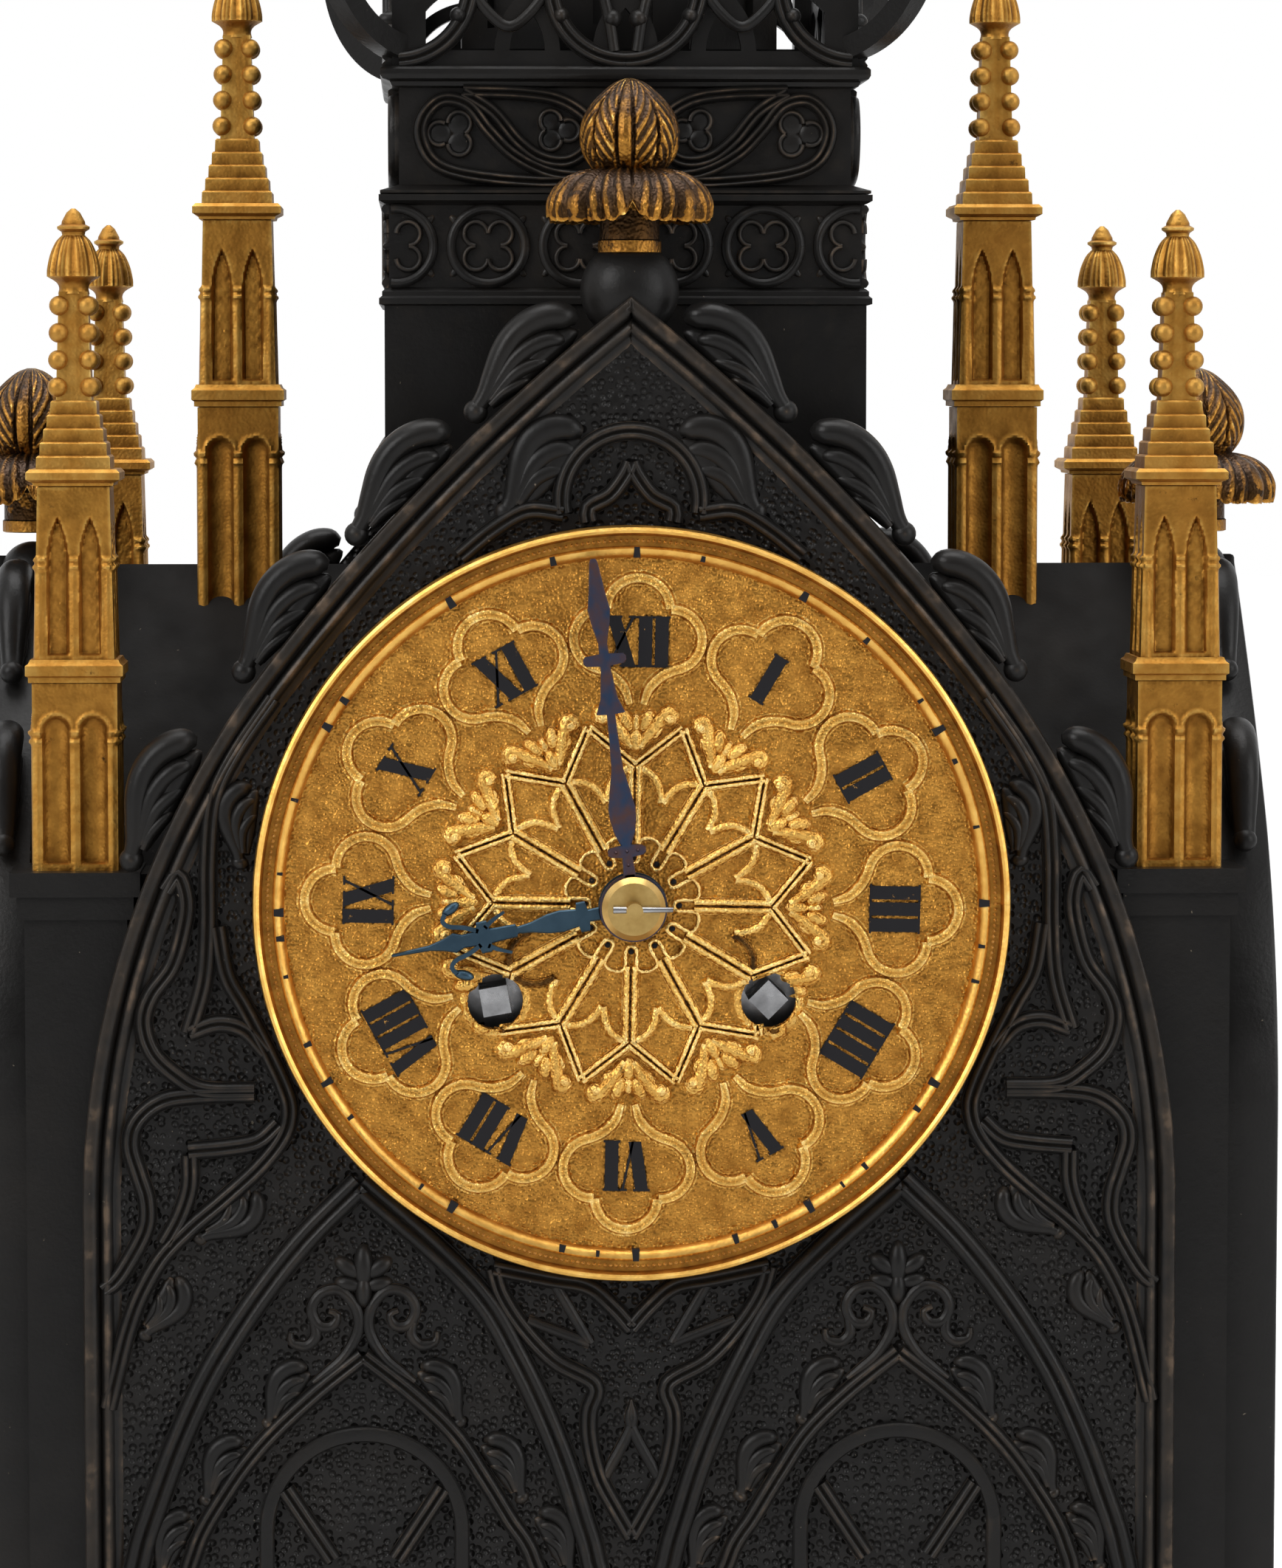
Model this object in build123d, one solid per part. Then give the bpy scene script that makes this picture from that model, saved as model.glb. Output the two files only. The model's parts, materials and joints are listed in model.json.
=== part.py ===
from build123d import *
import math
import os

os.makedirs("parts", exist_ok=True)

# A cathedral-shaped mantel clock. Sizes are in millimetres: +X to the viewer's right,
# +Y into the clock, +Z up. The front faces -Y and the feet stand on z = 0.

# Plinth and feet
FOOT_HEIGHT = 6.0
FOOT_RADIUS = 9.0
FOOT_X = 106.0
FOOT_Y = 67.0
STEP_LOW_WIDTH = 236.0
STEP_LOW_DEPTH = 158.0
STEP_LOW_HEIGHT = 12.0
STEP_MID_WIDTH = 217.0
STEP_MID_DEPTH = 139.0
STEP_MID_HEIGHT = 10.0
STEP_TOP_WIDTH = 207.0
STEP_TOP_DEPTH = 129.0
STEP_TOP_HEIGHT = 10.0
PLINTH_HOLLOW_WIDTH = 184.0
PLINTH_HOLLOW_DEPTH = 106.0
PLINTH_TOP_THICK = 5.0
STEP_CHAMFER = 2.5

# Case walls
CASE_HALF_WIDTH = 88.5
CASE_HALF_DEPTH = 51.0
FACADE_PLATE = 4.0
FACADE_RIM = 2.0
FACADE_RIM_WIDTH = 5.5
SIDE_PLATE = 6.0
SIDE_RIM = 2.0
SIDE_RIM_WIDTH = 4.0
SIDE_POCKET = 4.0
SIDE_POCKET_EDGE = 5.0
DIAL_Z = 186.0
CASE_HOLE_RADIUS = 47.5

# Pointed outlines of the gabled walls
FRONT_HALF = 80.0
FRONT_SPRING_Z = 141.0
FRONT_SHOULDER_X = 52.6
FRONT_SHOULDER_Z = 221.0
FRONT_APEX_Z = 274.0
SIDE_HALF = 48.0
SIDE_SPRING_Z = 152.4
SIDE_SHOULDER_X = 31.5
SIDE_SHOULDER_Z = 200.3
SIDE_APEX_Z = 234.8

# Tracery ribs of the walls
RIB_HEIGHT = 1.3
RIB_WIDTH = 2.4
LANCET_X = 39.2
LANCET_HALF = 33.2
LANCET_SPRING_Z = 88.0
LANCET_APEX_Z = 144.0
INNER_HALF = 24.6
INNER_SPRING_Z = 84.0
INNER_APEX_Z = 119.0
ROUND_HEAD_RADIUS = 14.4
ROUND_HEAD_Z = 93.5
SIDE_LANCET_HALF = 34.0
SIDE_LANCET_SPRING_Z = 130.0
SIDE_LANCET_APEX_Z = 190.0

# Corner pilasters
PILASTER_SIZE = 15.0
PILASTER_TOP_Z = 190.4
CAPITAL_HEIGHT = 3.6
CAPITAL_OVERHANG = 2.0
CAPITAL_CLEAR = 10.0
NECKING_HEIGHT = 3.4
NECKING_OVERHANG = 1.0
PILASTER_BASE_HEIGHT = 8.0

# Cross roof with its crossing platform
ROOF_DROP = 3.0
TRANSEPT_DROP = 1.0
ROOF_SEAM = 1.0
ROOF_CLEAR = 50.0
ROOF_SHELL = 2.5
EAVES_Z = 187.0
EAVES_THICK = 3.0
PLATFORM_Z = 233.0
PLATFORM_THICK = 3.0
PLATFORM_HOLE = 46.0

# Crockets on the gable edges; a station is the distance of a leaf's head from the apex
CROCKET_STATIONS = (8.6, 32.8, 58.1, 89.9)
SIDE_CROCKET_STATIONS = (6.5, 37.5)
CROCKET_HEAD = (1.0, 3.2)
CROCKET_BROW = (-0.9, 6.7)
CROCKET_PEAK = (-6.0, 8.1)
CROCKET_BACK = (-12.2, 6.0)
CROCKET_LENGTH = 19.5
CROCKET_KNOB = 1.6
CROCKET_ROOT_NEAR = 1.0
CROCKET_ROOT_FAR = 14.0
CROCKET_SEAT = 1.0

# Pinnacles
PIN_LOW_HEIGHT = 27.4
PIN_LOW_SIZE = 12.4
PIN_CORNICE_LOW_HEIGHT = 3.5
PIN_CORNICE_LOW_SIZE = 14.2
PIN_HIGH_HEIGHT = 25.1
PIN_HIGH_SIZE = 11.6
PIN_HIGH_TAPER = 1.3
PIN_CORNICE_HIGH_HEIGHT = 2.6
PIN_CORNICE_HIGH_SIZE = 13.6
PIN_STEPS = 5
PIN_STEP_HEIGHT = 2.0
PIN_STEP_SIZE = 10.8
PIN_STEP_BACK = 0.7
PIN_BEAD_ROWS = 4
PIN_BEAD_RADIUS = 1.5
PIN_BEAD_PITCH = 3.95
PIN_BEAD_CORE = 5.2
PIN_BEAD_TAPER = 2.2
PIN_NECK_RADIUS = 2.2
PIN_NECK_HEIGHT = 2.2
PIN_CAP_RADIUS = 3.9
PIN_CAP_HEIGHT = 6.0
PIN_CAP_TOP_RADIUS = 1.6
PIN_KNOP_RADIUS = 2.4
PIN_KNOP_HEIGHT = 3.9
PIN_TIP_RADIUS = 0.8
PIN_NECK_SUNK = 1.0
PIN_NECK_STRAIGHT = 0.4
PIN_CAP_RIM = 0.8
PIN_CAP_SWELL = (0.9, 0.45)
PIN_KNOP_RING = 0.3
PIN_KNOP_WAIST = 0.55
PIN_NICHE_DEPTH = 1.0
PIN_NICHE_WIDTH = 3.9
PIN_NICHE_FOOT = 2.0
PIN_NICHE_HEAD = 3.0
PIN_NICHE_SPACING = 5.4
PIN_LANCET_WIDTH = 3.5
PIN_LANCET_FOOT = 2.5
PIN_LANCET_HEAD = 2.5
PIN_LANCET_SPACING = 4.8
CORNER_PIN_X = 81.0
CORNER_PIN_Y = 43.5
RIDGE_PIN_X = 58.5
RIDGE_PIN_Z = 230.3
RIDGE_PIN_FOOT = 8.0

# Bud finials
BALL_RADIUS = 7.2
BALL_RISE = 2.0
BALL_CLEAR = 10.0
FRONT_BALL_RISE = 0.9
FRONT_FINIAL_Y = -49.6
SIDE_BALL_RADIUS = 5.0
SIDE_BALL_SINK = 2.8
SIDE_FINIAL_X = 90.5
SIDE_FINIAL_RISE = 1.0
COLLAR_RADIUS = 4.5
COLLAR_FOOT = 3.2
SKIRT_RISE = 8.6
SKIRT_RADIUS = 12.4
SKIRT_THICK = 1.6
SKIRT_LIP = 0.4
SKIRT_UNDERCUT = 2.2
SKIRT_SHOULDER_INSET = 2.2
SKIRT_SHOULDER_RISE = 4.6
SKIRT_NECK_INSET = 6.0
SKIRT_HEIGHT = 8.6
BUD_RADIUS = 7.0
BUD_HEIGHT = 13.6
BUD_SUNK = 4.0

# Tower and spire
TOWER_WIDTH = 71.5
TOWER_WALL = 3.0
TOWER_SHAFT_TOP_Z = 273.0
STRING_HEIGHT = 2.4
STRING_OVERHANG = 0.8
ROUNDEL_HEIGHT = 12.6
ROUNDELS_PER_FACE = 6
ROUNDEL_PITCH = 13.6
ROUNDEL_RADIUS = 6.1
ROUNDEL_RING = 1.2
ROUNDEL_RELIEF = 0.9
SHAFT_CORNICE_HEIGHT = 1.4
FRIEZE_WIDTH = 67.0
FRIEZE_WEATHER_HEIGHT = 1.4
FRIEZE_HEIGHT = 14.2
FRIEZE_BULGE = 1.8
SCROLL_RADIUS = 3.6
SCROLL_RIB = 1.7
SCROLL_PITCH = 11.0
SCROLL_MARGIN = 1.2
SCROLL_LEAN = 5.0
FRIEZE_CORNICE_HEIGHT = 3.1
FRIEZE_CORNICE_WIDTH = 72.5
FRIEZE_TOP_HOLE = 46.0
GALLERY_WIDTH = 69.0
GALLERY_WALL = 2.6
GALLERY_RAIL = 2.4
GALLERY_ARCH_RADIUS = 11.0
GALLERY_ARCH_PITCH = 14.52
GALLERY_ARCH_SEAT = 0.4
GALLERY_CLEAR = 40.0
GALLERY_ARCHES = 4
GALLERY_RIB = 2.2
GALLERY_CORNER = 5.0
GALLERY_CORNER_HEIGHT = 17.0
HORN_REACH = 17.0
HORN_RISE = 15.0
HORN_THICK = 3.4
HORN_KNOB = 2.6
HORN_SEAT_RISE = 2.6
HORN_SEAT_INSET = 4.0
HORN_BOW_REACH = 0.66
HORN_BOW_RISE = 0.3
SPIRE_BASE_WIDTH = 58.0
SPIRE_BASE_HEIGHT = 3.0
DRUM_RADIUS = 26.0
DRUM_HEIGHT = 38.0
DRUM_CORNICE = 2.4
DRUM_CORNICE_HEIGHT = 4.0
SPIRE_RADIUS = 23.5
SPIRE_TOP_RADIUS = 3.6
SPIRE_HEIGHT = 96.0
SPIRE_WALL = 3.0
SPIRE_SIDES = 8
SPIRE_BEAD_RADIUS = 1.9
SPIRE_BEADS = 7
SPIRE_BEAD_SINK = 0.5
SPIRE_BEAD_MARGIN = 0.7
SPIRE_SOLID_SHARE = 0.3
DRUM_LANCET_FOOT = 4.0
DRUM_LANCET_WIDTH = 9.0
DRUM_LANCET_HEIGHT = 27.0
DRUM_LANCET_DEPTH = 1.4

# Dial and hands
DIAL_RADIUS = 52.3
DIAL_THICK = 1.6
DIAL_FIT = 0.1
DIAL_PIPE_CLEAR = 0.6
BEZEL_RADIUS = 55.0
BEZEL_DEPTH = 6.0
BEZEL_LIP = 2.0
BEZEL_LIP_RADIUS = 44.0
TRACK_INNER = 48.9
TRACK_OUTER = 51.4
TRACK_RISE = 0.4
CARTOUCHE_RADIUS = 38.8
CARTOUCHE_LOBE = 5.2
CARTOUCHE_DROP = 1.0
CARTOUCHE_TAIL_HALF = 6.0
CARTOUCHE_TAIL_TOP = 3.0
CARTOUCHE_TAIL_FOOT = 10.0
CARTOUCHE_SPREAD = 4.2
CARTOUCHE_RISE = 0.7
WINDING_X = 19.9
WINDING_DROP = 14.1
WINDING_HOLE_RADIUS = 4.1
WINDING_SQUARE = 4.1
WINDING_SQUARE_RECESS = 0.6
DIAL_FOOT_RADIUS = 1.4
DIAL_FOOT_RING = 41.0
HAND_THICK = 0.8
HOUR_HUB_WALL = 1.6
MINUTE_HUB_WALL = 1.8
HOUR_HAND_GAP = 2.4
HAND_SPACING = 2.2
MINUTE_HAND_LENGTH = 51.7
HOUR_HAND_LENGTH = 35.5
MINUTE_HAND_TURN = 353.4
HOUR_HAND_TURN = 258.6
COLLET_RADIUS = 4.6
COLLET_CHAMFER = 0.8
COLLET_THICK = 1.8
TAPER_PIN_LENGTH = 8.6
TAPER_PIN_RADIUS = 0.55
TAPER_PIN_FIT = 0.05
TAPER_PIN_SHARE = 0.35
TAPER_PIN_NARROW = 0.7
CENTRE_TIP = 3.2

# Movement plates and arbors
PLATE_RADIUS = 44.0
PLATE_THICK = 1.8
PLATE_GAP = 30.0
FRONT_PLATE_Y = -48.0
PILLAR_RADIUS = 2.5
PILLAR_RING = 40.0
PILLAR_ANGLES = (55.0, 125.0, 172.0, 270.0, 8.0)
PILLAR_TENON_RADIUS = 1.6
RUNNING_FIT = 0.06
END_SHAKE = 0.3
ARBOR_RADIUS = 0.7
PIVOT_RADIUS = 0.5
CENTRE_RADIUS = 1.2
CANNON_RADIUS = 2.0
HOUR_PIPE_RADIUS = 3.0
WINDING_RADIUS = 2.5
WINDING_REAR_RADIUS = 1.5
RATCHET_RADIUS = 6.5
RATCHET_TOOTH = 1.1
RATCHET_LEAN = 2.0
RATCHET_GAP = 0.3
STRIKE_RATCHET_TURN = 10.0
RATCHET_TEETH = 18
RATCHET_THICK = 1.7

# Wheel teeth
WHEEL_SHARE = 0.44
PINION_SHARE = 0.36
WHEEL_ADDENDUM = 0.7
PINION_ADDENDUM = 0.5
DEDENDUM = 1.3
WHEEL_RIM = 1.6
WHEEL_SPOKE = 1.6
SPOKE_OVERRUN = 1.2
TOOTH_TIP = 0.3
GREAT_TEETH = 84
GREAT_MODULE = 0.45
INTERMEDIATE_LEAVES = 14
INTERMEDIATE_TEETH = 72
CENTRE_LEAVES = 12
INTERMEDIATE_MODULE = 0.40
CENTRE_TEETH = 84
THIRD_LEAVES = 7
CENTRE_MODULE = 0.36
THIRD_TEETH = 84
ESCAPE_LEAVES = 7
THIRD_MODULE = 0.30
ESCAPE_RISE = 24.5
ESCAPE_TEETH = 36
ESCAPE_RADIUS = 8.5
ESCAPE_TOOTH = 1.3
ESCAPE_FLANK_LEAD = 2.6
ESCAPE_FLANK_TRAIL = 1.2
ESCAPE_RIM = 1.4
ESCAPE_HUB = 2.4
ESCAPE_SPOKE = 1.2
CANNON_LEAVES = 12
MINUTE_TEETH = 36
MOTION_GAP = 3.0
HOUR_WHEEL_LEAD = 2.2
STUD_PROUD = 1.2
STUD_CLEAR = 5.0
MINUTE_MODULE = 0.50
MINUTE_LEAVES = 10
HOUR_TEETH = 40
STRIKE_TEETH = 72
STRIKE_MODULE = 0.45
PIN_LEAVES = 12
PIN_TEETH = 60
PIN_MODULE = 0.40
PIN_WHEEL_BEARING = 100.0
FLY_LEAVES = 8
FLY_BEARING = 65.0
FLY_HALF_WIDTH = 6.5
FLY_THICK = 0.8
FLY_START = 5.0
FLY_HEIGHT = 11.0
LIFTING_PINS = 10
LIFTING_PIN_RING = 9.6
LIFTING_PIN_RADIUS = 0.6
LIFTING_PIN_LENGTH = 2.0
HAMMER_TAIL_CLEAR = 0.6
HAMMER_TAIL_WIDTH = 1.4
HAMMER_TAIL_GAP = 0.4
HAMMER_TAIL_THICK = 1.2
HAMMER_ARM_THICK = 2.0
WHEEL_THICK = 1.2
INTERMEDIATE_GAP = 2.0
CENTRE_GAP = 2.8
ESCAPE_LEAD = 3.2
CENTRE_HUB = 3.4
INTERMEDIATE_HUB = 4.6
THIRD_HUB = 2.8
INTERMEDIATE_SPOKE_TURN = 20.0
THIRD_SPOKE_TURN = 10.0
WHEEL_SPOKES = 4
GREAT_THICK = 2.0
PINION_FACE = 2.4
GOING_DRUM_RADIUS = 16.0
GOING_DRUM_LENGTH = 17.5
STRIKE_DRUM_RADIUS = 14.4
STRIKE_DRUM_LENGTH = 14.5
DRUM_WALL = 1.2
SPRING_TURNS = 6
SPRING_THICK = 0.6
SPRING_CORE = 4.4
BARREL_START = 1.7

# Escapement and pendulum
ANCHOR_RISE = 36.0
ANCHOR_HEAD_HALF = 1.6
ANCHOR_HEAD_RISE = 1.8
ANCHOR_BELLY = 1.4
PALLET_SHOULDER = (2.2, 2.4)
PALLET_HEEL = (2.0, 0.6)
PALLET_CHEEK = (0.7, 1.3)
CRUTCH_HEAD = 1.4
FORK_HEIGHT = 2.4
FORK_REACH = 0.6
ANCHOR_THICK = 1.8
PALLET_CLEAR = 0.6
PALLET_ANGLE = 50.0
CRUTCH_LENGTH = 22.0
CRUTCH_WIDTH = 2.4
CRUTCH_THICK = 1.2
CRUTCH_STANDOFF = 0.8
FORK_CLEAR = 0.15
FORK_PRONG = 1.1
PENDULUM_STANDOFF = 6.4
PENDULUM_LENGTH = 119.8
PENDULUM_ROD_RADIUS = 1.1
PENDULUM_TAIL = 24.0
SUSPENSION_LENGTH = 8.0
SUSPENSION_WIDTH = 3.0
SUSPENSION_FIT = 0.05
SUSPENSION_THICK = 0.4
SUSPENSION_ABOVE = 2.0
COCK_HALF_WIDTH = 4.0
COCK_HEIGHT = 5.0
COCK_DEPTH = 10.0
BOB_RADIUS = 16.0
BOB_THICK = 8.0
BOB_EDGE = 1.6
NUT_RADIUS = 4.0
NUT_HEIGHT = 2.6

# Bell, hammer, straps and the back
BELL_RADIUS = 32.0
BELL_DEPTH = 22.0
BELL_WALL = 2.2
BELL_MOUTH_Y = 4.0
BELL_POST_RADIUS = 2.2
BELL_POST_X = 26.0
BELL_POST_DROP = 25.0
BELL_STUD_RADIUS = 1.8
BELL_CLEAR = 5.0
BELL_STUD_LENGTH = 6.0
BELL_BAR = 3.0
BELL_HOLE_FIT = 0.1
BELL_SEAT_RADIUS = 8.0
BELL_SEAT_DEPTH = 0.4
HAMMER_RING = 40.0
HAMMER_BEARING = 200.0
HAMMER_HEAD_BEARING = 235.0
HAMMER_HEAD_RADIUS = 2.6
HAMMER_HEAD_LENGTH = 6.0
HAMMER_GAP = 0.7
HAMMER_ARM = 2.2
STRAP_THICK = 2.0
STRAP_WIDTH = 8.0
STRAP_INNER = 44.6
STRAP_TILT = 25.0
STRAP_LUG = 7.0
STRAP_LUG_LENGTH = 8.0
STRAP_SCREW_RADIUS = 1.5
STRAP_SCREW_RING = 43.5
STRAP_SCREW_HEAD = 2.2
STRAP_SCREW_HEAD_HEIGHT = 1.4
STRAP_SCREW_LENGTH = 8.0
BACK_BEZEL_INNER = 39.0
BACK_BEZEL_RADIUS = 53.0
BACK_BEZEL_DEPTH = 3.0
BACK_DOOR_RADIUS = 40.8
DOOR_KNOB_INSET = 6.0
BACK_DOOR_THICK = 1.5
BACK_DOOR_GAP = 0.3
BACK_KNOB_RADIUS = 2.6
BACK_KNOB_LENGTH = 4.0
HINGE_X = 49.5
HINGE_RADIUS = 2.0
HINGE_PIN_RADIUS = 1.0
HINGE_KNUCKLE = 13.0
HINGE_LUG = 5.0
HINGE_GAP = 0.4

# Planes and heights that follow from the sizes above
PLINTH_TOP_Z = FOOT_HEIGHT + STEP_LOW_HEIGHT + STEP_MID_HEIGHT + STEP_TOP_HEIGHT
FIELD_Y = -CASE_HALF_DEPTH - FACADE_PLATE
RIM_Y = FIELD_Y - FACADE_RIM
DIAL_BACK_Y = FIELD_Y - BEZEL_LIP
DIAL_FRONT_Y = DIAL_BACK_Y - DIAL_THICK
HOUR_HAND_Y = DIAL_FRONT_Y - HOUR_HAND_GAP - HAND_THICK
MINUTE_HAND_Y = HOUR_HAND_Y - HAND_SPACING
COLLET_Y = MINUTE_HAND_Y - COLLET_THICK
PLATE_INNER_Y = FRONT_PLATE_Y + PLATE_THICK
BACK_INNER_Y = PLATE_INNER_Y + PLATE_GAP
BACK_OUTER_Y = BACK_INNER_Y + PLATE_THICK
PENDULUM_Y = BACK_OUTER_Y + PENDULUM_STANDOFF
CASE_BACK_Y = -FIELD_Y
ANCHOR_Z = DIAL_Z + ANCHOR_RISE
WINDING_Z = DIAL_Z - WINDING_DROP
TOWER_FOOT_Z = PLATFORM_Z + PLATFORM_THICK
ROUNDEL_Z = TOWER_SHAFT_TOP_Z + STRING_HEIGHT
SHAFT_TOP_Z = ROUNDEL_Z + ROUNDEL_HEIGHT + SHAFT_CORNICE_HEIGHT
FRIEZE_TOP_Z = SHAFT_TOP_Z + FRIEZE_WEATHER_HEIGHT + FRIEZE_HEIGHT + FRIEZE_CORNICE_HEIGHT
FRONT_BALL_Z = FRONT_APEX_Z + FRONT_BALL_RISE
SIDE_FACE_X = CASE_HALF_WIDTH + SIDE_PLATE + SIDE_RIM
SIDE_BALL_Z = SIDE_APEX_Z - SIDE_BALL_SINK


def upright(profile, y, depth):
    """Extrude a profile drawn in x and z from the plane at y towards the back."""
    plane = Plane(origin=(0, y, 0), x_dir=(1, 0, 0), z_dir=(0, -1, 0))
    return extrude(plane * profile, -depth)


def rod_y(x, z, radius, start, end):
    return upright(Pos(x, z) * Circle(radius), start, end - start)


def block(x0, x1, y0, y1, z0, z1):
    size = Box(x1 - x0, y1 - y0, z1 - z0)
    return Pos((x0 + x1) / 2, (y0 + y1) / 2, (z0 + z1) / 2) * size


def turned(points):
    """Turn a profile of (radius, z) points about the Z axis."""
    return revolve(Plane.XZ * make_face(Polyline(*points, close=True)), Axis.Z)


def arch(half, foot, spring, shoulder_x, shoulder_z, apex):
    """Outline of a gabled wall: straight sides, then two tangent arcs to the apex."""
    low = TangentArc((-half, spring), (-shoulder_x, shoulder_z), tangent=(0, 1))
    high = TangentArc(low @ 1, (0, apex), tangent=low % 1)
    sides = Polyline((-half, spring), (-half, foot), (half, foot), (half, spring))
    other_low = mirror(low, about=Plane.YZ)
    other_high = mirror(high, about=Plane.YZ)
    return make_face(Curve() + [sides, low, high, other_low, other_high])


def slope_stations(half, spring, shoulder_x, shoulder_z, apex, stations):
    """Points and directions on the left slope at set distances from the apex."""
    low = TangentArc((-half, spring), (-shoulder_x, shoulder_z), tangent=(0, 1))
    high = TangentArc(low @ 1, (0, apex), tangent=low % 1)
    found = []
    for away in stations:
        edge, back = (high, away) if away <= high.length else (low, away - high.length)
        share = max(0.0, 1 - back / edge.length)
        found.append((edge @ share, edge % share))
    return found


def inset(face, amount):
    return offset(face, amount=-amount, kind=Kind.INTERSECTION)


def pointed_rib(cx, half, foot, spring, apex, width):
    """Rib that follows a pointed arch with straight legs."""
    left = TangentArc((cx - half, spring), (cx, apex), tangent=(0, 1))
    right = TangentArc((cx + half, spring), (cx, apex), tangent=(0, 1))
    legs = [Line((cx - half, foot), (cx - half, spring)), Line((cx + half, foot), (cx + half, spring))]
    return trace([left, right] + legs, width)


def hoop(radius, width):
    return Circle(radius + width / 2) - Circle(radius - width / 2)


def cut_to(node, *others):
    for other in others:
        node = node - other
    return node


# Plinth: three chamfered steps, hollow from below, on four pads
def plinth_step(width, depth, z, height):
    step = Pos(0, 0, z + height / 2) * Box(width, depth, height)
    return chamfer(step.faces().sort_by(Axis.Z)[-1].edges(), STEP_CHAMFER)


low_z = FOOT_HEIGHT
mid_z = low_z + STEP_LOW_HEIGHT
top_z = mid_z + STEP_MID_HEIGHT
plinth = plinth_step(STEP_LOW_WIDTH, STEP_LOW_DEPTH, low_z, STEP_LOW_HEIGHT)
plinth += plinth_step(STEP_MID_WIDTH, STEP_MID_DEPTH, mid_z, STEP_MID_HEIGHT)
plinth += plinth_step(STEP_TOP_WIDTH, STEP_TOP_DEPTH, top_z, STEP_TOP_HEIGHT)
hollow_half = PLINTH_HOLLOW_WIDTH / 2
hollow_deep = PLINTH_HOLLOW_DEPTH / 2
plinth -= block(-hollow_half, hollow_half, -hollow_deep, hollow_deep, low_z, PLINTH_TOP_Z - PLINTH_TOP_THICK)
feet = []
for sx in (-1, 1):
    for sy in (-1, 1):
        feet.append(Pos(sx * FOOT_X, sy * FOOT_Y, FOOT_HEIGHT / 2) * Cylinder(FOOT_RADIUS, FOOT_HEIGHT))

# Gabled walls
front_arch = arch(FRONT_HALF, PLINTH_TOP_Z, FRONT_SPRING_Z, FRONT_SHOULDER_X, FRONT_SHOULDER_Z, FRONT_APEX_Z)
side_arch = arch(SIDE_HALF, PLINTH_TOP_Z, SIDE_SPRING_Z, SIDE_SHOULDER_X, SIDE_SHOULDER_Z, SIDE_APEX_Z)
front_prism = upright(front_arch, RIM_Y, FACADE_PLATE + FACADE_RIM)
side_prism = upright(side_arch, -SIDE_FACE_X, SIDE_PLATE + SIDE_RIM)

tracery = Sketch()
for side in (-1, 1):
    cx = side * LANCET_X
    tracery += pointed_rib(cx, LANCET_HALF, PLINTH_TOP_Z, LANCET_SPRING_Z, LANCET_APEX_Z, RIB_WIDTH)
    tracery += pointed_rib(cx, INNER_HALF, PLINTH_TOP_Z, INNER_SPRING_Z, INNER_APEX_Z, RIB_WIDTH)
    tracery += Pos(cx, ROUND_HEAD_Z) * hoop(ROUND_HEAD_RADIUS, RIB_WIDTH)
tracery &= inset(front_arch, FACADE_RIM_WIDTH)

facade = upright(front_arch, FIELD_Y, FACADE_PLATE)
facade += upright(front_arch - inset(front_arch, FACADE_RIM_WIDTH), RIM_Y, FACADE_RIM)
facade += upright(tracery, FIELD_Y - RIB_HEIGHT, RIB_HEIGHT)
facade -= rod_y(0, DIAL_Z, CASE_HOLE_RADIUS, RIM_Y, -CASE_HALF_DEPTH)
front_ball = Pos(0, FRONT_FINIAL_Y, FRONT_BALL_Z) * Sphere(BALL_RADIUS)
# The ball is flattened where the tower's front stands behind it.
ball_clear = block(
    -BALL_RADIUS, BALL_RADIUS, -TOWER_WIDTH / 2, 0, FRONT_APEX_Z - BALL_CLEAR, FRONT_APEX_Z + BALL_CLEAR)
facade += front_ball - ball_clear
rear_wall = Rot(0, 0, 180) * facade

side_tracery = pointed_rib(
    0, SIDE_LANCET_HALF, PLINTH_TOP_Z, SIDE_LANCET_SPRING_Z, SIDE_LANCET_APEX_Z, RIB_WIDTH)
side_tracery &= inset(side_arch, SIDE_RIM_WIDTH)
side_wall = upright(side_arch, -CASE_HALF_WIDTH - SIDE_PLATE, SIDE_PLATE)
side_wall += upright(side_arch - inset(side_arch, SIDE_RIM_WIDTH), -SIDE_FACE_X, SIDE_RIM)
side_wall += upright(side_tracery, -CASE_HALF_WIDTH - SIDE_PLATE - RIB_HEIGHT, RIB_HEIGHT)
side_wall -= upright(inset(side_arch, SIDE_POCKET_EDGE), -CASE_HALF_WIDTH - SIDE_POCKET, SIDE_POCKET)
side_ball = Pos(0, -SIDE_FINIAL_X, SIDE_BALL_Z) * Sphere(SIDE_BALL_RADIUS)
side_wall += side_ball
left_wall = Rot(0, 0, -90) * side_wall
right_wall = Rot(0, 0, 90) * side_wall

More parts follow.
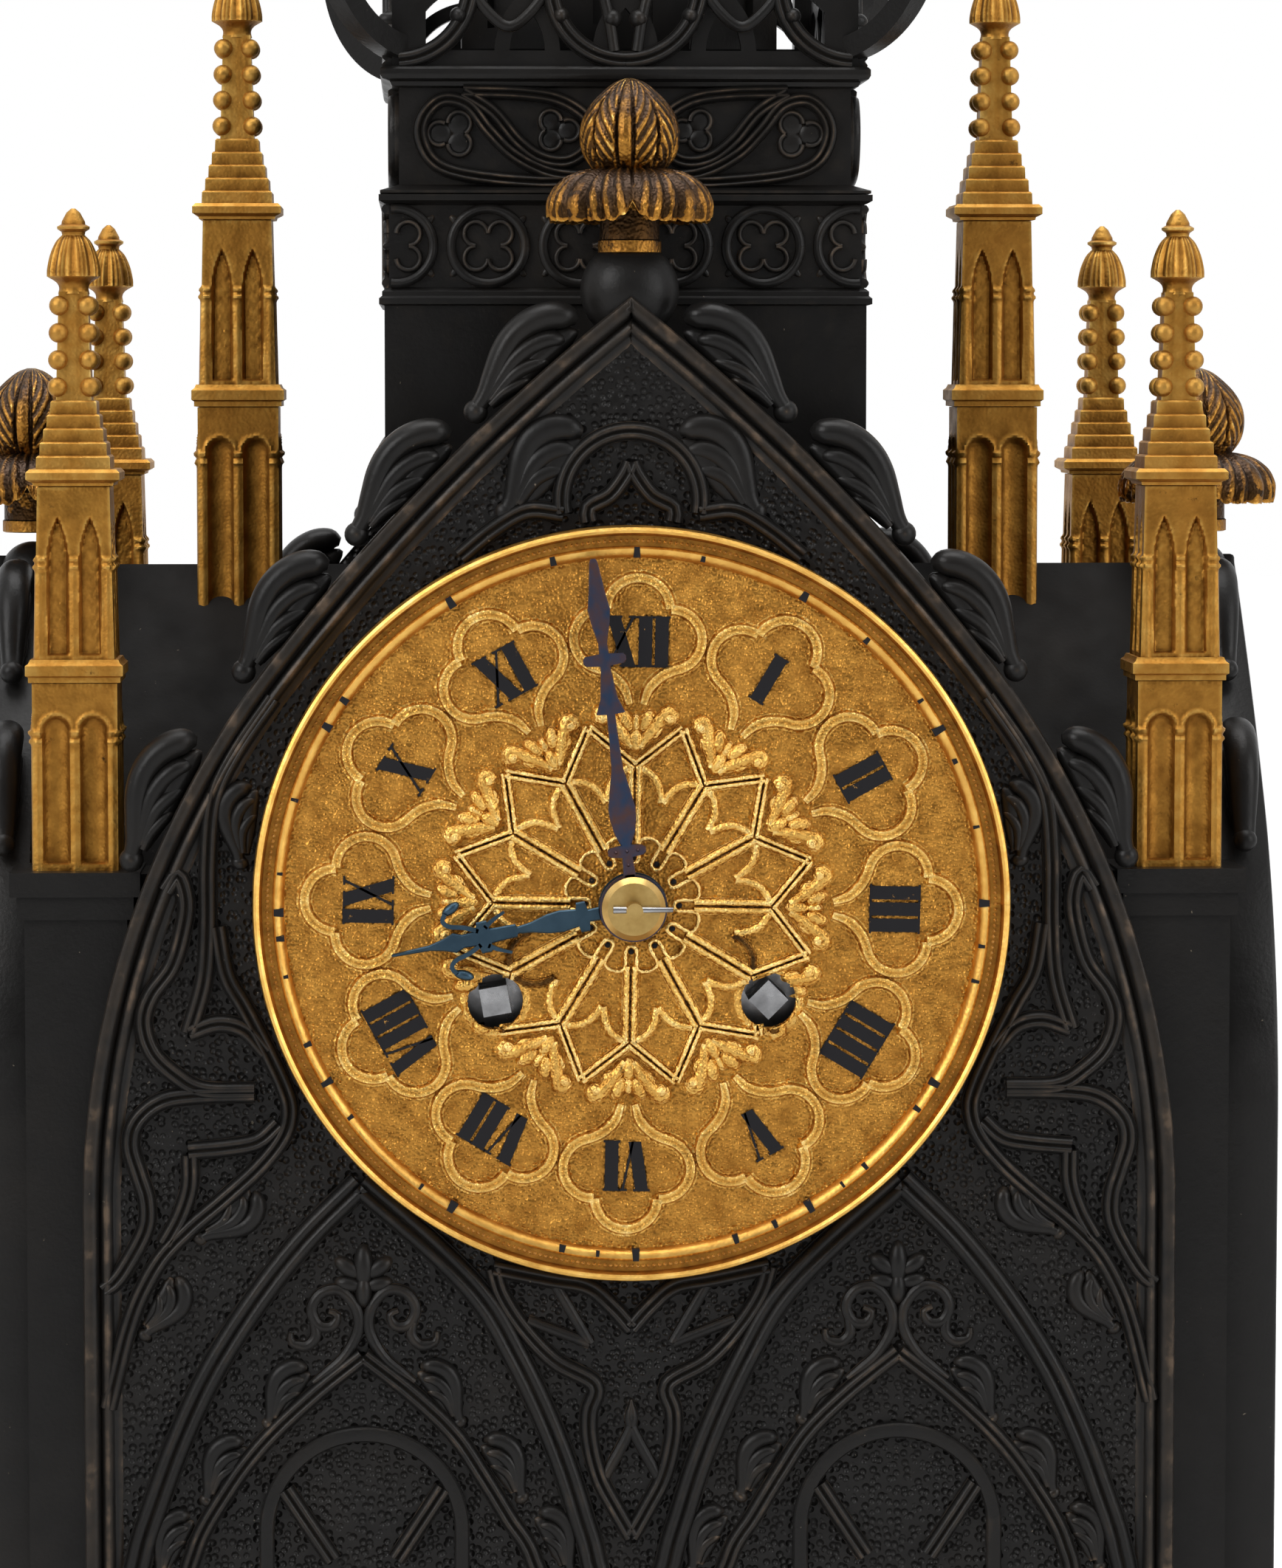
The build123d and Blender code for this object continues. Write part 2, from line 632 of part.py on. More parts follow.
# Corner pilasters with capitals cut to the walls they stand behind
wall_prisms = [front_prism, Rot(0, 0, 180) * front_prism]
wall_prisms += [Rot(0, 0, -90) * side_prism, Rot(0, 0, 90) * side_prism]
pilasters = []
capitals = []
for sx in (-1, 1):
    for sy in (-1, 1):
        px = sx * (CASE_HALF_WIDTH - PILASTER_SIZE / 2)
        py = sy * (CASE_HALF_DEPTH - PILASTER_SIZE / 2)
        height = PILASTER_TOP_Z - PLINTH_TOP_Z
        post = Pos(px, py, PLINTH_TOP_Z + height / 2) * Box(PILASTER_SIZE, PILASTER_SIZE, height)
        wide = PILASTER_SIZE + 2 * CAPITAL_OVERHANG
        neck = PILASTER_SIZE + 2 * NECKING_OVERHANG
        capital = Pos(px, py, PILASTER_TOP_Z - CAPITAL_HEIGHT / 2) * Box(wide, wide, CAPITAL_HEIGHT)
        neck_z = PILASTER_TOP_Z - CAPITAL_HEIGHT - NECKING_HEIGHT / 2
        necking = Pos(px, py, neck_z) * Box(neck, neck, NECKING_HEIGHT)
        base = Pos(px, py, PLINTH_TOP_Z + PILASTER_BASE_HEIGHT / 2) * Box(neck, neck, PILASTER_BASE_HEIGHT)
        pilasters.append(cut_to(post + capital + necking + base, *wall_prisms))
        capitals.append(Pos(px, py, PILASTER_TOP_Z - CAPITAL_CLEAR) * Box(wide, wide, 2 * CAPITAL_CLEAR))

# Cross roof: two crossing gabled shells, an eaves flange and the crossing platform
nave_length = 2 * CASE_HALF_DEPTH
transept_length = 2 * CASE_HALF_WIDTH
nave_outer = upright(inset(front_arch, ROOF_DROP), -CASE_HALF_DEPTH, nave_length)
nave_inner = upright(inset(front_arch, ROOF_DROP + ROOF_SHELL), -CASE_HALF_DEPTH, nave_length)
transept_outer = upright(inset(side_arch, TRANSEPT_DROP), -CASE_HALF_WIDTH, transept_length)
transept_outer = Rot(0, 0, 90) * transept_outer
transept_inner = upright(inset(side_arch, TRANSEPT_DROP + ROOF_SHELL), -CASE_HALF_WIDTH, transept_length)
transept_inner = Rot(0, 0, 90) * transept_inner
tower_half = TOWER_WIDTH / 2
sky = FRONT_APEX_Z + ROOF_CLEAR
roof = nave_outer + transept_outer
roof += block(
    -CASE_HALF_WIDTH, CASE_HALF_WIDTH, -CASE_HALF_DEPTH, CASE_HALF_DEPTH, EAVES_Z, EAVES_Z + EAVES_THICK)
roof = cut_to(roof, nave_inner, transept_inner)
platform = block(-FRONT_HALF, FRONT_HALF, -CASE_HALF_DEPTH, CASE_HALF_DEPTH, PLATFORM_Z, TOWER_FOOT_Z)
platform &= nave_inner
hole_half = PLATFORM_HOLE / 2
platform -= block(-hole_half, hole_half, -hole_half, hole_half, PLATFORM_Z, TOWER_FOOT_Z)
roof += platform
roof -= block(-tower_half, tower_half, -tower_half, tower_half, TOWER_FOOT_Z, sky)
roof -= block(-FRONT_HALF * 2, FRONT_HALF * 2, -FRONT_HALF, FRONT_HALF, 0, EAVES_Z)
roof = cut_to(roof, *capitals)
ball_pocket = Pos(0, FRONT_FINIAL_Y, FRONT_BALL_Z) * Sphere(BALL_RADIUS)
side_ball_pocket = Pos(SIDE_FINIAL_X, 0, SIDE_BALL_Z) * Sphere(SIDE_BALL_RADIUS)
for turn in (0, 180):
    roof -= Rot(0, 0, turn) * ball_pocket
    roof -= Rot(0, 0, turn) * side_ball_pocket
seam = tower_half - ROOF_SEAM
wide = 2 * FRONT_HALF
sheet_bounds = (
    (-wide, wide, -wide, -seam), (-wide, wide, seam, wide), (-wide, -seam, -seam, seam),
    (seam, wide, -seam, seam), (-seam, seam, -seam, seam))
roof_sheets = []
for left, right, near, far in sheet_bounds:
    roof_sheets += (roof & block(left, right, near, far, 0, sky)).solids()


# Crockets: leaves seated on the gable edges, with a round head towards the apex and a knob at the tail
def crocket_outline():
    """Leaf along -X from its head, over the slope it sits on."""
    tail = CROCKET_KNOB - CROCKET_LENGTH
    nape = (tail, 2 * CROCKET_KNOB)
    brow = ThreePointArc(CROCKET_HEAD, CROCKET_BROW, CROCKET_PEAK)
    back = ThreePointArc(CROCKET_PEAK, CROCKET_BACK, nape)
    knob = ThreePointArc(nape, (-CROCKET_LENGTH, CROCKET_KNOB), (tail, 0))
    root = Polyline(
        (tail, 0), (-CROCKET_ROOT_FAR, -CROCKET_SEAT), (-CROCKET_ROOT_NEAR, -CROCKET_SEAT), CROCKET_HEAD)
    return make_face(Curve() + [brow, back, knob, root])


def crocket_row(stations, y, depth, wall):
    row = []
    for point, along in stations:
        slope = math.degrees(math.atan2(along.Y, along.X))
        leaf = upright(Pos(point.X, point.Y) * Rot(0, 0, slope) * crocket_outline(), y, depth) - wall
        row += leaf.solids()
        row += mirror(leaf, about=Plane.YZ).solids()
    return row


front_stations = slope_stations(
    FRONT_HALF, FRONT_SPRING_Z, FRONT_SHOULDER_X, FRONT_SHOULDER_Z, FRONT_APEX_Z,
    CROCKET_STATIONS)
side_stations = slope_stations(
    SIDE_HALF, SIDE_SPRING_Z, SIDE_SHOULDER_X, SIDE_SHOULDER_Z, SIDE_APEX_Z,
    SIDE_CROCKET_STATIONS)
front_row = crocket_row(front_stations, RIM_Y, FACADE_PLATE + FACADE_RIM, front_prism)
side_row = crocket_row(side_stations, -SIDE_FACE_X, SIDE_PLATE + SIDE_RIM, side_prism + side_ball)
gable_crockets = front_row + [Rot(0, 0, 180) * leaf for leaf in front_row]
side_crockets = [Rot(0, 0, turn) * leaf for turn in (-90, 90) for leaf in side_row]


# Pinnacles: two arcaded stages, cornices, stepped cap, beaded shaft and knop
def niche(width, height, round_head):
    half = width / 2
    if round_head:
        straight = height - half
        return Pos(0, straight / 2) * Rectangle(width, straight) + Pos(0, straight) * Circle(half)
    spring = height - width
    left = TangentArc((-half, spring), (0, height), tangent=(0, 1))
    right = TangentArc((half, spring), (0, height), tangent=(0, 1))
    foot = Polyline((-half, spring), (-half, 0), (half, 0), (half, spring))
    return make_face(Curve() + [left, right, foot])


def square_ring(width, z, height):
    return Pos(0, 0, z + height / 2) * Box(width, width, height)


def niches(face_half, z, width, height, round_head, spacing):
    cuts = []
    for turn in range(4):
        for side in (-1, 1):
            shape = Pos(side * spacing / 2, z) * niche(width, height, round_head)
            cut = upright(shape, -face_half - 1, 1 + PIN_NICHE_DEPTH)
            cuts.append(Rot(0, 0, 90 * turn) * cut)
    return cuts


def pinnacle(foot_drop, niche_foot):
    z = PIN_LOW_HEIGHT
    body = square_ring(PIN_LOW_SIZE, -foot_drop, PIN_LOW_HEIGHT + foot_drop)
    low_clear = PIN_LOW_HEIGHT - niche_foot - PIN_NICHE_HEAD
    low_cuts = niches(PIN_LOW_SIZE / 2, niche_foot, PIN_NICHE_WIDTH, low_clear, True, PIN_NICHE_SPACING)
    body = cut_to(body, *low_cuts)
    body += square_ring(PIN_CORNICE_LOW_SIZE, z, PIN_CORNICE_LOW_HEIGHT)
    z += PIN_CORNICE_LOW_HEIGHT
    stage_foot = Pos(0, 0, z) * Rectangle(PIN_HIGH_SIZE, PIN_HIGH_SIZE)
    stage = extrude(stage_foot, PIN_HIGH_HEIGHT, taper=PIN_HIGH_TAPER)
    high_half = PIN_HIGH_SIZE / 2 - math.tan(math.radians(PIN_HIGH_TAPER)) * PIN_HIGH_HEIGHT / 2
    high_clear = PIN_HIGH_HEIGHT - PIN_LANCET_FOOT - PIN_LANCET_HEAD
    lancet_z = z + PIN_LANCET_FOOT
    high_cuts = niches(high_half, lancet_z, PIN_LANCET_WIDTH, high_clear, False, PIN_LANCET_SPACING)
    body += cut_to(stage, *high_cuts)
    z += PIN_HIGH_HEIGHT
    body += square_ring(PIN_CORNICE_HIGH_SIZE, z, PIN_CORNICE_HIGH_HEIGHT)
    z += PIN_CORNICE_HIGH_HEIGHT
    for k in range(PIN_STEPS):
        body += square_ring(PIN_STEP_SIZE - k * PIN_STEP_BACK, z, PIN_STEP_HEIGHT)
        z += PIN_STEP_HEIGHT
    shaft = PIN_BEAD_ROWS * PIN_BEAD_PITCH
    core = extrude(Pos(0, 0, z) * Rectangle(PIN_BEAD_CORE, PIN_BEAD_CORE), shaft, taper=PIN_BEAD_TAPER)
    lean = math.tan(math.radians(PIN_BEAD_TAPER))
    for k in range(PIN_BEAD_ROWS):
        rise = (k + 0.5) * PIN_BEAD_PITCH
        corner = PIN_BEAD_CORE / 2 - lean * rise
        for turn in range(4):
            core += Rot(0, 0, 90 * turn) * (Pos(corner, corner, z + rise) * Sphere(PIN_BEAD_RADIUS))
    body += core
    z += shaft
    neck_z = z + PIN_NECK_HEIGHT
    cap_z = neck_z + PIN_CAP_HEIGHT
    tip_z = cap_z + PIN_KNOP_HEIGHT
    body += turned([
        (0, z - PIN_NECK_SUNK), (PIN_NECK_RADIUS, z - PIN_NECK_SUNK), (PIN_NECK_RADIUS, z + PIN_NECK_STRAIGHT),
        (PIN_CAP_RADIUS, neck_z), (PIN_CAP_RADIUS, neck_z + PIN_CAP_RIM),
        (PIN_CAP_RADIUS * PIN_CAP_SWELL[0], neck_z + PIN_CAP_HEIGHT * PIN_CAP_SWELL[1]),
        (PIN_CAP_TOP_RADIUS, cap_z), (PIN_KNOP_RADIUS, cap_z + PIN_KNOP_HEIGHT * PIN_KNOP_RING),
        (PIN_CAP_TOP_RADIUS, cap_z + PIN_KNOP_HEIGHT * PIN_KNOP_WAIST), (PIN_TIP_RADIUS, tip_z), (0, tip_z)])
    return body


# The niches of the ridge pinnacles run down to the roof.
corner_pinnacle = pinnacle(0, PIN_NICHE_FOOT)
ridge_pinnacle = pinnacle(RIDGE_PIN_FOOT, -RIDGE_PIN_FOOT)


# Bud finials: collar, drooping leaf skirt and bud, standing on a ball
def finial(ball_radius, ball_drop):
    edge = SKIRT_RADIUS
    skirt_top = SKIRT_RISE + SKIRT_HEIGHT
    bud_tall = BUD_HEIGHT + BUD_SUNK
    body = turned([
        (0, COLLAR_FOOT), (COLLAR_RADIUS, COLLAR_FOOT), (COLLAR_RADIUS, SKIRT_RISE + SKIRT_UNDERCUT),
        (edge - SKIRT_THICK, SKIRT_RISE), (edge, SKIRT_RISE + SKIRT_LIP),
        (edge - SKIRT_SHOULDER_INSET, SKIRT_RISE + SKIRT_SHOULDER_RISE),
        (edge - SKIRT_NECK_INSET, skirt_top), (0, skirt_top)])
    bud = scale(Sphere(BUD_RADIUS), by=(1, 1, bud_tall / (2 * BUD_RADIUS)))
    body += Pos(0, 0, skirt_top + BUD_HEIGHT - bud_tall / 2) * bud
    return body - Pos(0, 0, -ball_drop) * Sphere(ball_radius)


bud_finial = finial(BALL_RADIUS, 0)
side_finial = finial(SIDE_BALL_RADIUS, SIDE_FINIAL_RISE)


# Tower: plain shaft with a frieze of roundels
def face_ring(profile, half, relief):
    """Raise a profile on the four faces of a square tower."""
    raised = upright(profile, -half - relief, relief)
    return [Rot(0, 0, 90 * turn) * raised for turn in range(4)]


def tube(width, wall, z, height):
    return square_ring(width, z, height) - square_ring(width - 2 * wall, z, height)


def four_panels(body, half, low, high):
    """Part a square tube at its mitred corners into its four cast panels."""
    corner = make_face(Polyline((0, 0), (half, -half), (-half, -half), close=True))
    wedge = extrude(Pos(0, 0, low) * corner, high - low)
    panels = []
    for turn in range(4):
        panels += (body & (Rot(0, 0, 90 * turn) * wedge)).solids()
    return panels


shaft = tube(TOWER_WIDTH, TOWER_WALL, TOWER_FOOT_Z, SHAFT_TOP_Z - TOWER_FOOT_Z)
string_width = TOWER_WIDTH + 2 * STRING_OVERHANG
shaft += tube(string_width, TOWER_WALL, TOWER_SHAFT_TOP_Z, STRING_HEIGHT)
shaft += tube(string_width, TOWER_WALL, SHAFT_TOP_Z - SHAFT_CORNICE_HEIGHT, SHAFT_CORNICE_HEIGHT)
roundels = Sketch()
roundel_mid = ROUNDEL_Z + ROUNDEL_HEIGHT / 2
for k in range(ROUNDELS_PER_FACE):
    x = (k - (ROUNDELS_PER_FACE - 1) / 2) * ROUNDEL_PITCH
    roundels += Pos(x, roundel_mid) * hoop(ROUNDEL_RADIUS - ROUNDEL_RING / 2, ROUNDEL_RING)
roundels &= Pos(0, roundel_mid) * Rectangle(TOWER_WIDTH, ROUNDEL_HEIGHT)
for raised in face_ring(roundels, tower_half, ROUNDEL_RELIEF):
    shaft += raised
shaft -= Pos(0, FRONT_FINIAL_Y, FRONT_BALL_Z) * Sphere(BALL_RADIUS)
shaft_panels = four_panels(shaft, TOWER_WIDTH, TOWER_FOOT_Z, SHAFT_TOP_Z)

frieze_z = SHAFT_TOP_Z + FRIEZE_WEATHER_HEIGHT
frieze = tube(TOWER_WIDTH, (TOWER_WIDTH - FRIEZE_WIDTH) / 2 + TOWER_WALL, SHAFT_TOP_Z, FRIEZE_WEATHER_HEIGHT)
frieze += tube(FRIEZE_WIDTH, TOWER_WALL, frieze_z, FRIEZE_HEIGHT)
cornice_wall = (FRIEZE_CORNICE_WIDTH - FRIEZE_TOP_HOLE) / 2
cornice_z = FRIEZE_TOP_Z - FRIEZE_CORNICE_HEIGHT
frieze += tube(FRIEZE_CORNICE_WIDTH, cornice_wall, cornice_z, FRIEZE_CORNICE_HEIGHT)
scrolls = Sketch()
scroll_mid = frieze_z + FRIEZE_HEIGHT / 2
scroll_rise = FRIEZE_HEIGHT / 2 - SCROLL_MARGIN
for side in (-1, 1):
    for k in range(3):
        x = side * SCROLL_PITCH * (k + 0.5)
        rise = scroll_rise * side
        bow = Line((x - SCROLL_LEAN, scroll_mid - rise), (x + SCROLL_LEAN, scroll_mid + rise))
        scrolls += Pos(x, scroll_mid) * hoop(SCROLL_RADIUS, SCROLL_RIB)
        scrolls += trace([bow], SCROLL_RIB)
for raised in face_ring(scrolls, FRIEZE_WIDTH / 2, FRIEZE_BULGE):
    frieze += raised
frieze_panels = four_panels(frieze, TOWER_WIDTH, SHAFT_TOP_Z, FRIEZE_TOP_Z)

# Pierced gallery of interlaced arches with corner posts
gallery_z = FRIEZE_TOP_Z
gallery_half = GALLERY_WIDTH / 2
arches = Pos(0, gallery_z + GALLERY_RAIL / 2) * Rectangle(GALLERY_WIDTH - 2 * GALLERY_WALL, GALLERY_RAIL)
for k in range(GALLERY_ARCHES):
    x = (k - (GALLERY_ARCHES - 1) / 2) * GALLERY_ARCH_PITCH
    arches += Pos(x, gallery_z + GALLERY_RAIL - GALLERY_ARCH_SEAT) * hoop(GALLERY_ARCH_RADIUS, GALLERY_RIB)
arches &= Pos(0, gallery_z + GALLERY_CLEAR / 2) * Rectangle(GALLERY_WIDTH - 2 * GALLERY_WALL, GALLERY_CLEAR)
gallery = Part()
for turn in range(4):
    gallery += Rot(0, 0, 90 * turn) * upright(arches, -gallery_half, GALLERY_WALL)
post_at = gallery_half - GALLERY_CORNER / 2
for sx in (-1, 1):
    for sy in (-1, 1):
        post_mid = gallery_z + GALLERY_CORNER_HEIGHT / 2
        post = Box(GALLERY_CORNER, GALLERY_CORNER, GALLERY_CORNER_HEIGHT)
        gallery += Pos(sx * post_at, sy * post_at, post_mid) * post
gallery_panels = four_panels(gallery, GALLERY_WIDTH, gallery_z, gallery_z + GALLERY_CORNER_HEIGHT)

# Horns: curved arms that lean out over the four corners of the tower
horn_seat = gallery_half * math.sqrt(2) - HORN_SEAT_INSET
horn_z = gallery_z + HORN_SEAT_RISE
sweep_line = ThreePointArc(
    (horn_seat, horn_z), (horn_seat + HORN_REACH * HORN_BOW_REACH, horn_z + HORN_RISE * HORN_BOW_RISE),
    (horn_seat + HORN_REACH, horn_z + HORN_RISE))
horn = upright(trace([sweep_line], HORN_THICK), -HORN_THICK / 2, HORN_THICK)
horn += Pos(horn_seat + HORN_REACH, 0, horn_z + HORN_RISE) * Sphere(HORN_KNOB)
horns = []
for turn in range(4):
    horns += (Rot(0, 0, 45 + 90 * turn) * horn - gallery - frieze).solids()

# Spire: eight-sided drum with blind lancets, cornice, hollow beaded pyramid and ball
spire_z = FRIEZE_TOP_Z
drum_z = spire_z + SPIRE_BASE_HEIGHT
pyramid_z = drum_z + DRUM_HEIGHT + DRUM_CORNICE_HEIGHT
spire_top_z = pyramid_z + SPIRE_HEIGHT


def eight(radius):
    return RegularPolygon(radius, SPIRE_SIDES, rotation=180 / SPIRE_SIDES)


spire = square_ring(SPIRE_BASE_WIDTH, spire_z, SPIRE_BASE_HEIGHT)
drum = extrude(Pos(0, 0, drum_z) * eight(DRUM_RADIUS), DRUM_HEIGHT)
apothem = DRUM_RADIUS * math.cos(math.pi / SPIRE_SIDES)
lancet = Pos(0, drum_z + DRUM_LANCET_FOOT) * niche(DRUM_LANCET_WIDTH, DRUM_LANCET_HEIGHT, False)
for k in range(SPIRE_SIDES):
    drum -= Rot(0, 0, 360 / SPIRE_SIDES * k) * upright(lancet, -apothem - 1, 1 + DRUM_LANCET_DEPTH)
spire += drum
spire += extrude(Pos(0, 0, drum_z + DRUM_HEIGHT) * eight(DRUM_RADIUS + DRUM_CORNICE), DRUM_CORNICE_HEIGHT)
spire += loft([Pos(0, 0, pyramid_z) * eight(SPIRE_RADIUS), Pos(0, 0, spire_top_z) * eight(SPIRE_TOP_RADIUS)])
hollow_top = spire_top_z - SPIRE_HEIGHT * SPIRE_SOLID_SHARE
inner_low = SPIRE_RADIUS - SPIRE_WALL
hollow = extrude(Pos(0, 0, spire_z) * eight(inner_low), pyramid_z - spire_z)
hollow += loft([Pos(0, 0, pyramid_z) * eight(inner_low), Pos(0, 0, hollow_top) * eight(SPIRE_TOP_RADIUS)])
spire -= hollow
for row in range(SPIRE_BEADS):
    share = (row + SPIRE_BEAD_MARGIN) / (SPIRE_BEADS - 1 + 2 * SPIRE_BEAD_MARGIN)
    reach = SPIRE_RADIUS + (SPIRE_TOP_RADIUS - SPIRE_RADIUS) * share
    bead = Pos(reach - SPIRE_BEAD_SINK, 0, pyramid_z + SPIRE_HEIGHT * share) * Sphere(SPIRE_BEAD_RADIUS)
    for k in range(SPIRE_SIDES):
        spire += Rot(0, 0, 360 / SPIRE_SIDES * (k + 0.5)) * bead
spire += Pos(0, 0, spire_top_z + BALL_RISE) * Sphere(BALL_RADIUS)

# Dial with raised minute track and numeral cartouches, and its turned bezel
dial = rod_y(0, DIAL_Z, DIAL_RADIUS, DIAL_FRONT_Y, DIAL_BACK_Y)
track = Circle(TRACK_OUTER) - Circle(TRACK_INNER)
dial += upright(Pos(0, DIAL_Z) * track, DIAL_FRONT_Y - TRACK_RISE, TRACK_RISE)
lobes = Sketch()
for k in range(12):
    trefoil = Pos(0, CARTOUCHE_SPREAD) * Circle(CARTOUCHE_LOBE)
    trefoil += Pos(-CARTOUCHE_SPREAD, -CARTOUCHE_DROP) * Circle(CARTOUCHE_LOBE)
    trefoil += Pos(CARTOUCHE_SPREAD, -CARTOUCHE_DROP) * Circle(CARTOUCHE_LOBE)
    trefoil += make_face(Polyline(
        (-CARTOUCHE_TAIL_HALF, -CARTOUCHE_TAIL_TOP), (CARTOUCHE_TAIL_HALF, -CARTOUCHE_TAIL_TOP),
        (0, -CARTOUCHE_TAIL_FOOT), close=True))
    lobes += Rot(0, 0, 30 * k) * Pos(0, CARTOUCHE_RADIUS) * trefoil
lobes &= Circle(TRACK_INNER)
dial += upright(Pos(0, DIAL_Z) * lobes, DIAL_FRONT_Y - CARTOUCHE_RISE, CARTOUCHE_RISE)
for k in range(3):
    angle = math.radians(90 + 120 * k)
    foot_x = DIAL_FOOT_RING * math.cos(angle)
    foot_z = DIAL_Z + DIAL_FOOT_RING * math.sin(angle)
    dial += rod_y(foot_x, foot_z, DIAL_FOOT_RADIUS, DIAL_BACK_Y, FRONT_PLATE_Y)
dial -= rod_y(0, DIAL_Z, HOUR_PIPE_RADIUS + DIAL_PIPE_CLEAR, DIAL_FRONT_Y - 2, DIAL_BACK_Y)
for side in (-1, 1):
    dial -= rod_y(side * WINDING_X, WINDING_Z, WINDING_HOLE_RADIUS, DIAL_FRONT_Y - 2, DIAL_BACK_Y)

bezel_inner = DIAL_RADIUS + DIAL_FIT
bezel_front = FIELD_Y - BEZEL_DEPTH
bezel_crown = (BEZEL_RADIUS + bezel_inner) / 2
bezel_edge = Polyline(
    (bezel_inner, DIAL_FRONT_Y - 1), (bezel_inner, DIAL_BACK_Y), (BEZEL_LIP_RADIUS, DIAL_BACK_Y),
    (BEZEL_LIP_RADIUS, FIELD_Y), (BEZEL_RADIUS, FIELD_Y), (BEZEL_RADIUS, DIAL_FRONT_Y - 1))
bezel_round = ThreePointArc(
    (BEZEL_RADIUS, DIAL_FRONT_Y - 1), (bezel_crown, bezel_front), (bezel_inner, DIAL_FRONT_Y - 1))
bezel = Pos(0, 0, DIAL_Z) * revolve(make_face(Curve() + [bezel_edge, bezel_round]), Axis.Y)

# Hands: half-outlines as (distance from the centre, half-width)
MINUTE_OUTLINE = (
    (3.4, 1.3), (7.0, 0.8), (8.2, 1.9), (9.4, 0.7), (13.5, 2.0), (20.6, 0.95), (27.5, 0.7), (28.8, 2.2),
    (31.0, 0.9), (35.2, 0.6), (35.7, 3.0), (36.7, 3.0), (37.2, 0.6), (43.6, 1.5), (MINUTE_HAND_LENGTH, 0.15))
HOUR_OUTLINE = (
    (4.0, 1.4), (6.4, 0.9), (7.4, 2.2), (8.4, 1.1), (11.0, 1.6), (17.0, 0.6), (18.6, 1.0), (21.0, 1.1),
    (22.6, 3.2), (26.2, 4.4), (26.8, 1.4), (31.0, 0.4), (HOUR_HAND_LENGTH, 0.15))


def hand(outline, hub, bore, turn, y):
    right = [(half, along) for along, half in outline]
    left = [(-half, along) for along, half in reversed(outline)]
    shape = make_face(Polyline(*right, *left, close=True)) + Circle(hub) - Circle(bore)
    return upright(Pos(0, DIAL_Z) * Rot(0, 0, -turn) * shape, y, HAND_THICK)


hour_hub = HOUR_PIPE_RADIUS + HOUR_HUB_WALL
hour_hand = hand(HOUR_OUTLINE, hour_hub, HOUR_PIPE_RADIUS, HOUR_HAND_TURN, HOUR_HAND_Y)
minute_hub = CANNON_RADIUS + MINUTE_HUB_WALL
minute_hand = hand(MINUTE_OUTLINE, minute_hub, CANNON_RADIUS, MINUTE_HAND_TURN, MINUTE_HAND_Y)
centre_tip_y = COLLET_Y - CENTRE_TIP
collet = rod_y(0, DIAL_Z, COLLET_RADIUS, COLLET_Y, MINUTE_HAND_Y)
collet = chamfer(collet.edges().sort_by(Axis.Y)[0], COLLET_CHAMFER)
collet -= rod_y(0, DIAL_Z, CENTRE_RADIUS, COLLET_Y, MINUTE_HAND_Y)
pin_y = COLLET_Y - TAPER_PIN_RADIUS - TAPER_PIN_FIT
pin_start = -TAPER_PIN_LENGTH * TAPER_PIN_SHARE
taper_pin = Pos(pin_start, pin_y, DIAL_Z) * Rot(0, 90, 0) * Cone(
    TAPER_PIN_RADIUS, TAPER_PIN_RADIUS * TAPER_PIN_NARROW, TAPER_PIN_LENGTH,
    align=(Align.CENTER, Align.CENTER, Align.MIN))


# Toothed wheels
def gear(teeth, module, share, addendum, turn):
    """Face of a toothed wheel, with one tooth's middle at the given angle in degrees."""
    pitch_radius = module * teeth / 2
    half = math.pi / teeth * share
    root = pitch_radius - DEDENDUM * module
    tip = pitch_radius + addendum * module
    points = []
    for k in range(teeth):
        middle = math.radians(turn) + 2 * math.pi * k / teeth
        flank = ((root, -half), (pitch_radius, -half), (tip, -half * TOOTH_TIP))
        flank += ((tip, half * TOOTH_TIP), (pitch_radius, half), (root, half))
        for radius, lean in flank:
            points.append((radius * math.cos(middle + lean), radius * math.sin(middle + lean)))
    return make_face(Polyline(*points, close=True))


def wheel(teeth, module, turn):
    return gear(teeth, module, WHEEL_SHARE, WHEEL_ADDENDUM, turn)


def pinion(leaves, module, turn):
    return gear(leaves, module, PINION_SHARE, PINION_ADDENDUM, turn)


def crossed(face, teeth, module, hub, spokes, turn):
    """Cross out a wheel: leave the rim, the hub and straight spokes."""
    rim = module * teeth / 2 - DEDENDUM * module - WHEEL_RIM
    windows = Circle(rim) - Circle(hub)
    for k in range(spokes):
        spoke = Pos(rim / 2, 0) * Rectangle(rim * SPOKE_OVERRUN, WHEEL_SPOKE)
        windows -= Rot(0, 0, turn + 360 / spokes * k) * spoke
    return face - windows


def bearing(start, end):
    return math.degrees(math.atan2(end[1] - start[1], end[0] - start[0]))


def mesh_turn(start, teeth, turn, end, other_teeth):
    """Angle of the second wheel whose gap meets the first wheel's tooth."""
    line = bearing(start, end)
    return line + 180 + 180 / other_teeth + (line - turn) * teeth / other_teeth


def third_point(a, b, from_a, from_b, side):
    """Point at set distances from two others, on the left (1) or right (-1) of a to b."""
    gap = math.hypot(b[0] - a[0], b[1] - a[1])
    along = (from_a ** 2 - from_b ** 2 + gap ** 2) / (2 * gap)
    across = math.sqrt(from_a ** 2 - along ** 2) * side
    ux = (b[0] - a[0]) / gap
    uz = (b[1] - a[1]) / gap
    return (a[0] + ux * along - uz * across, a[1] + uz * along + ux * across)


def polar(origin, distance, degrees):
    angle = math.radians(degrees)
    return (origin[0] + distance * math.cos(angle), origin[1] + distance * math.sin(angle))


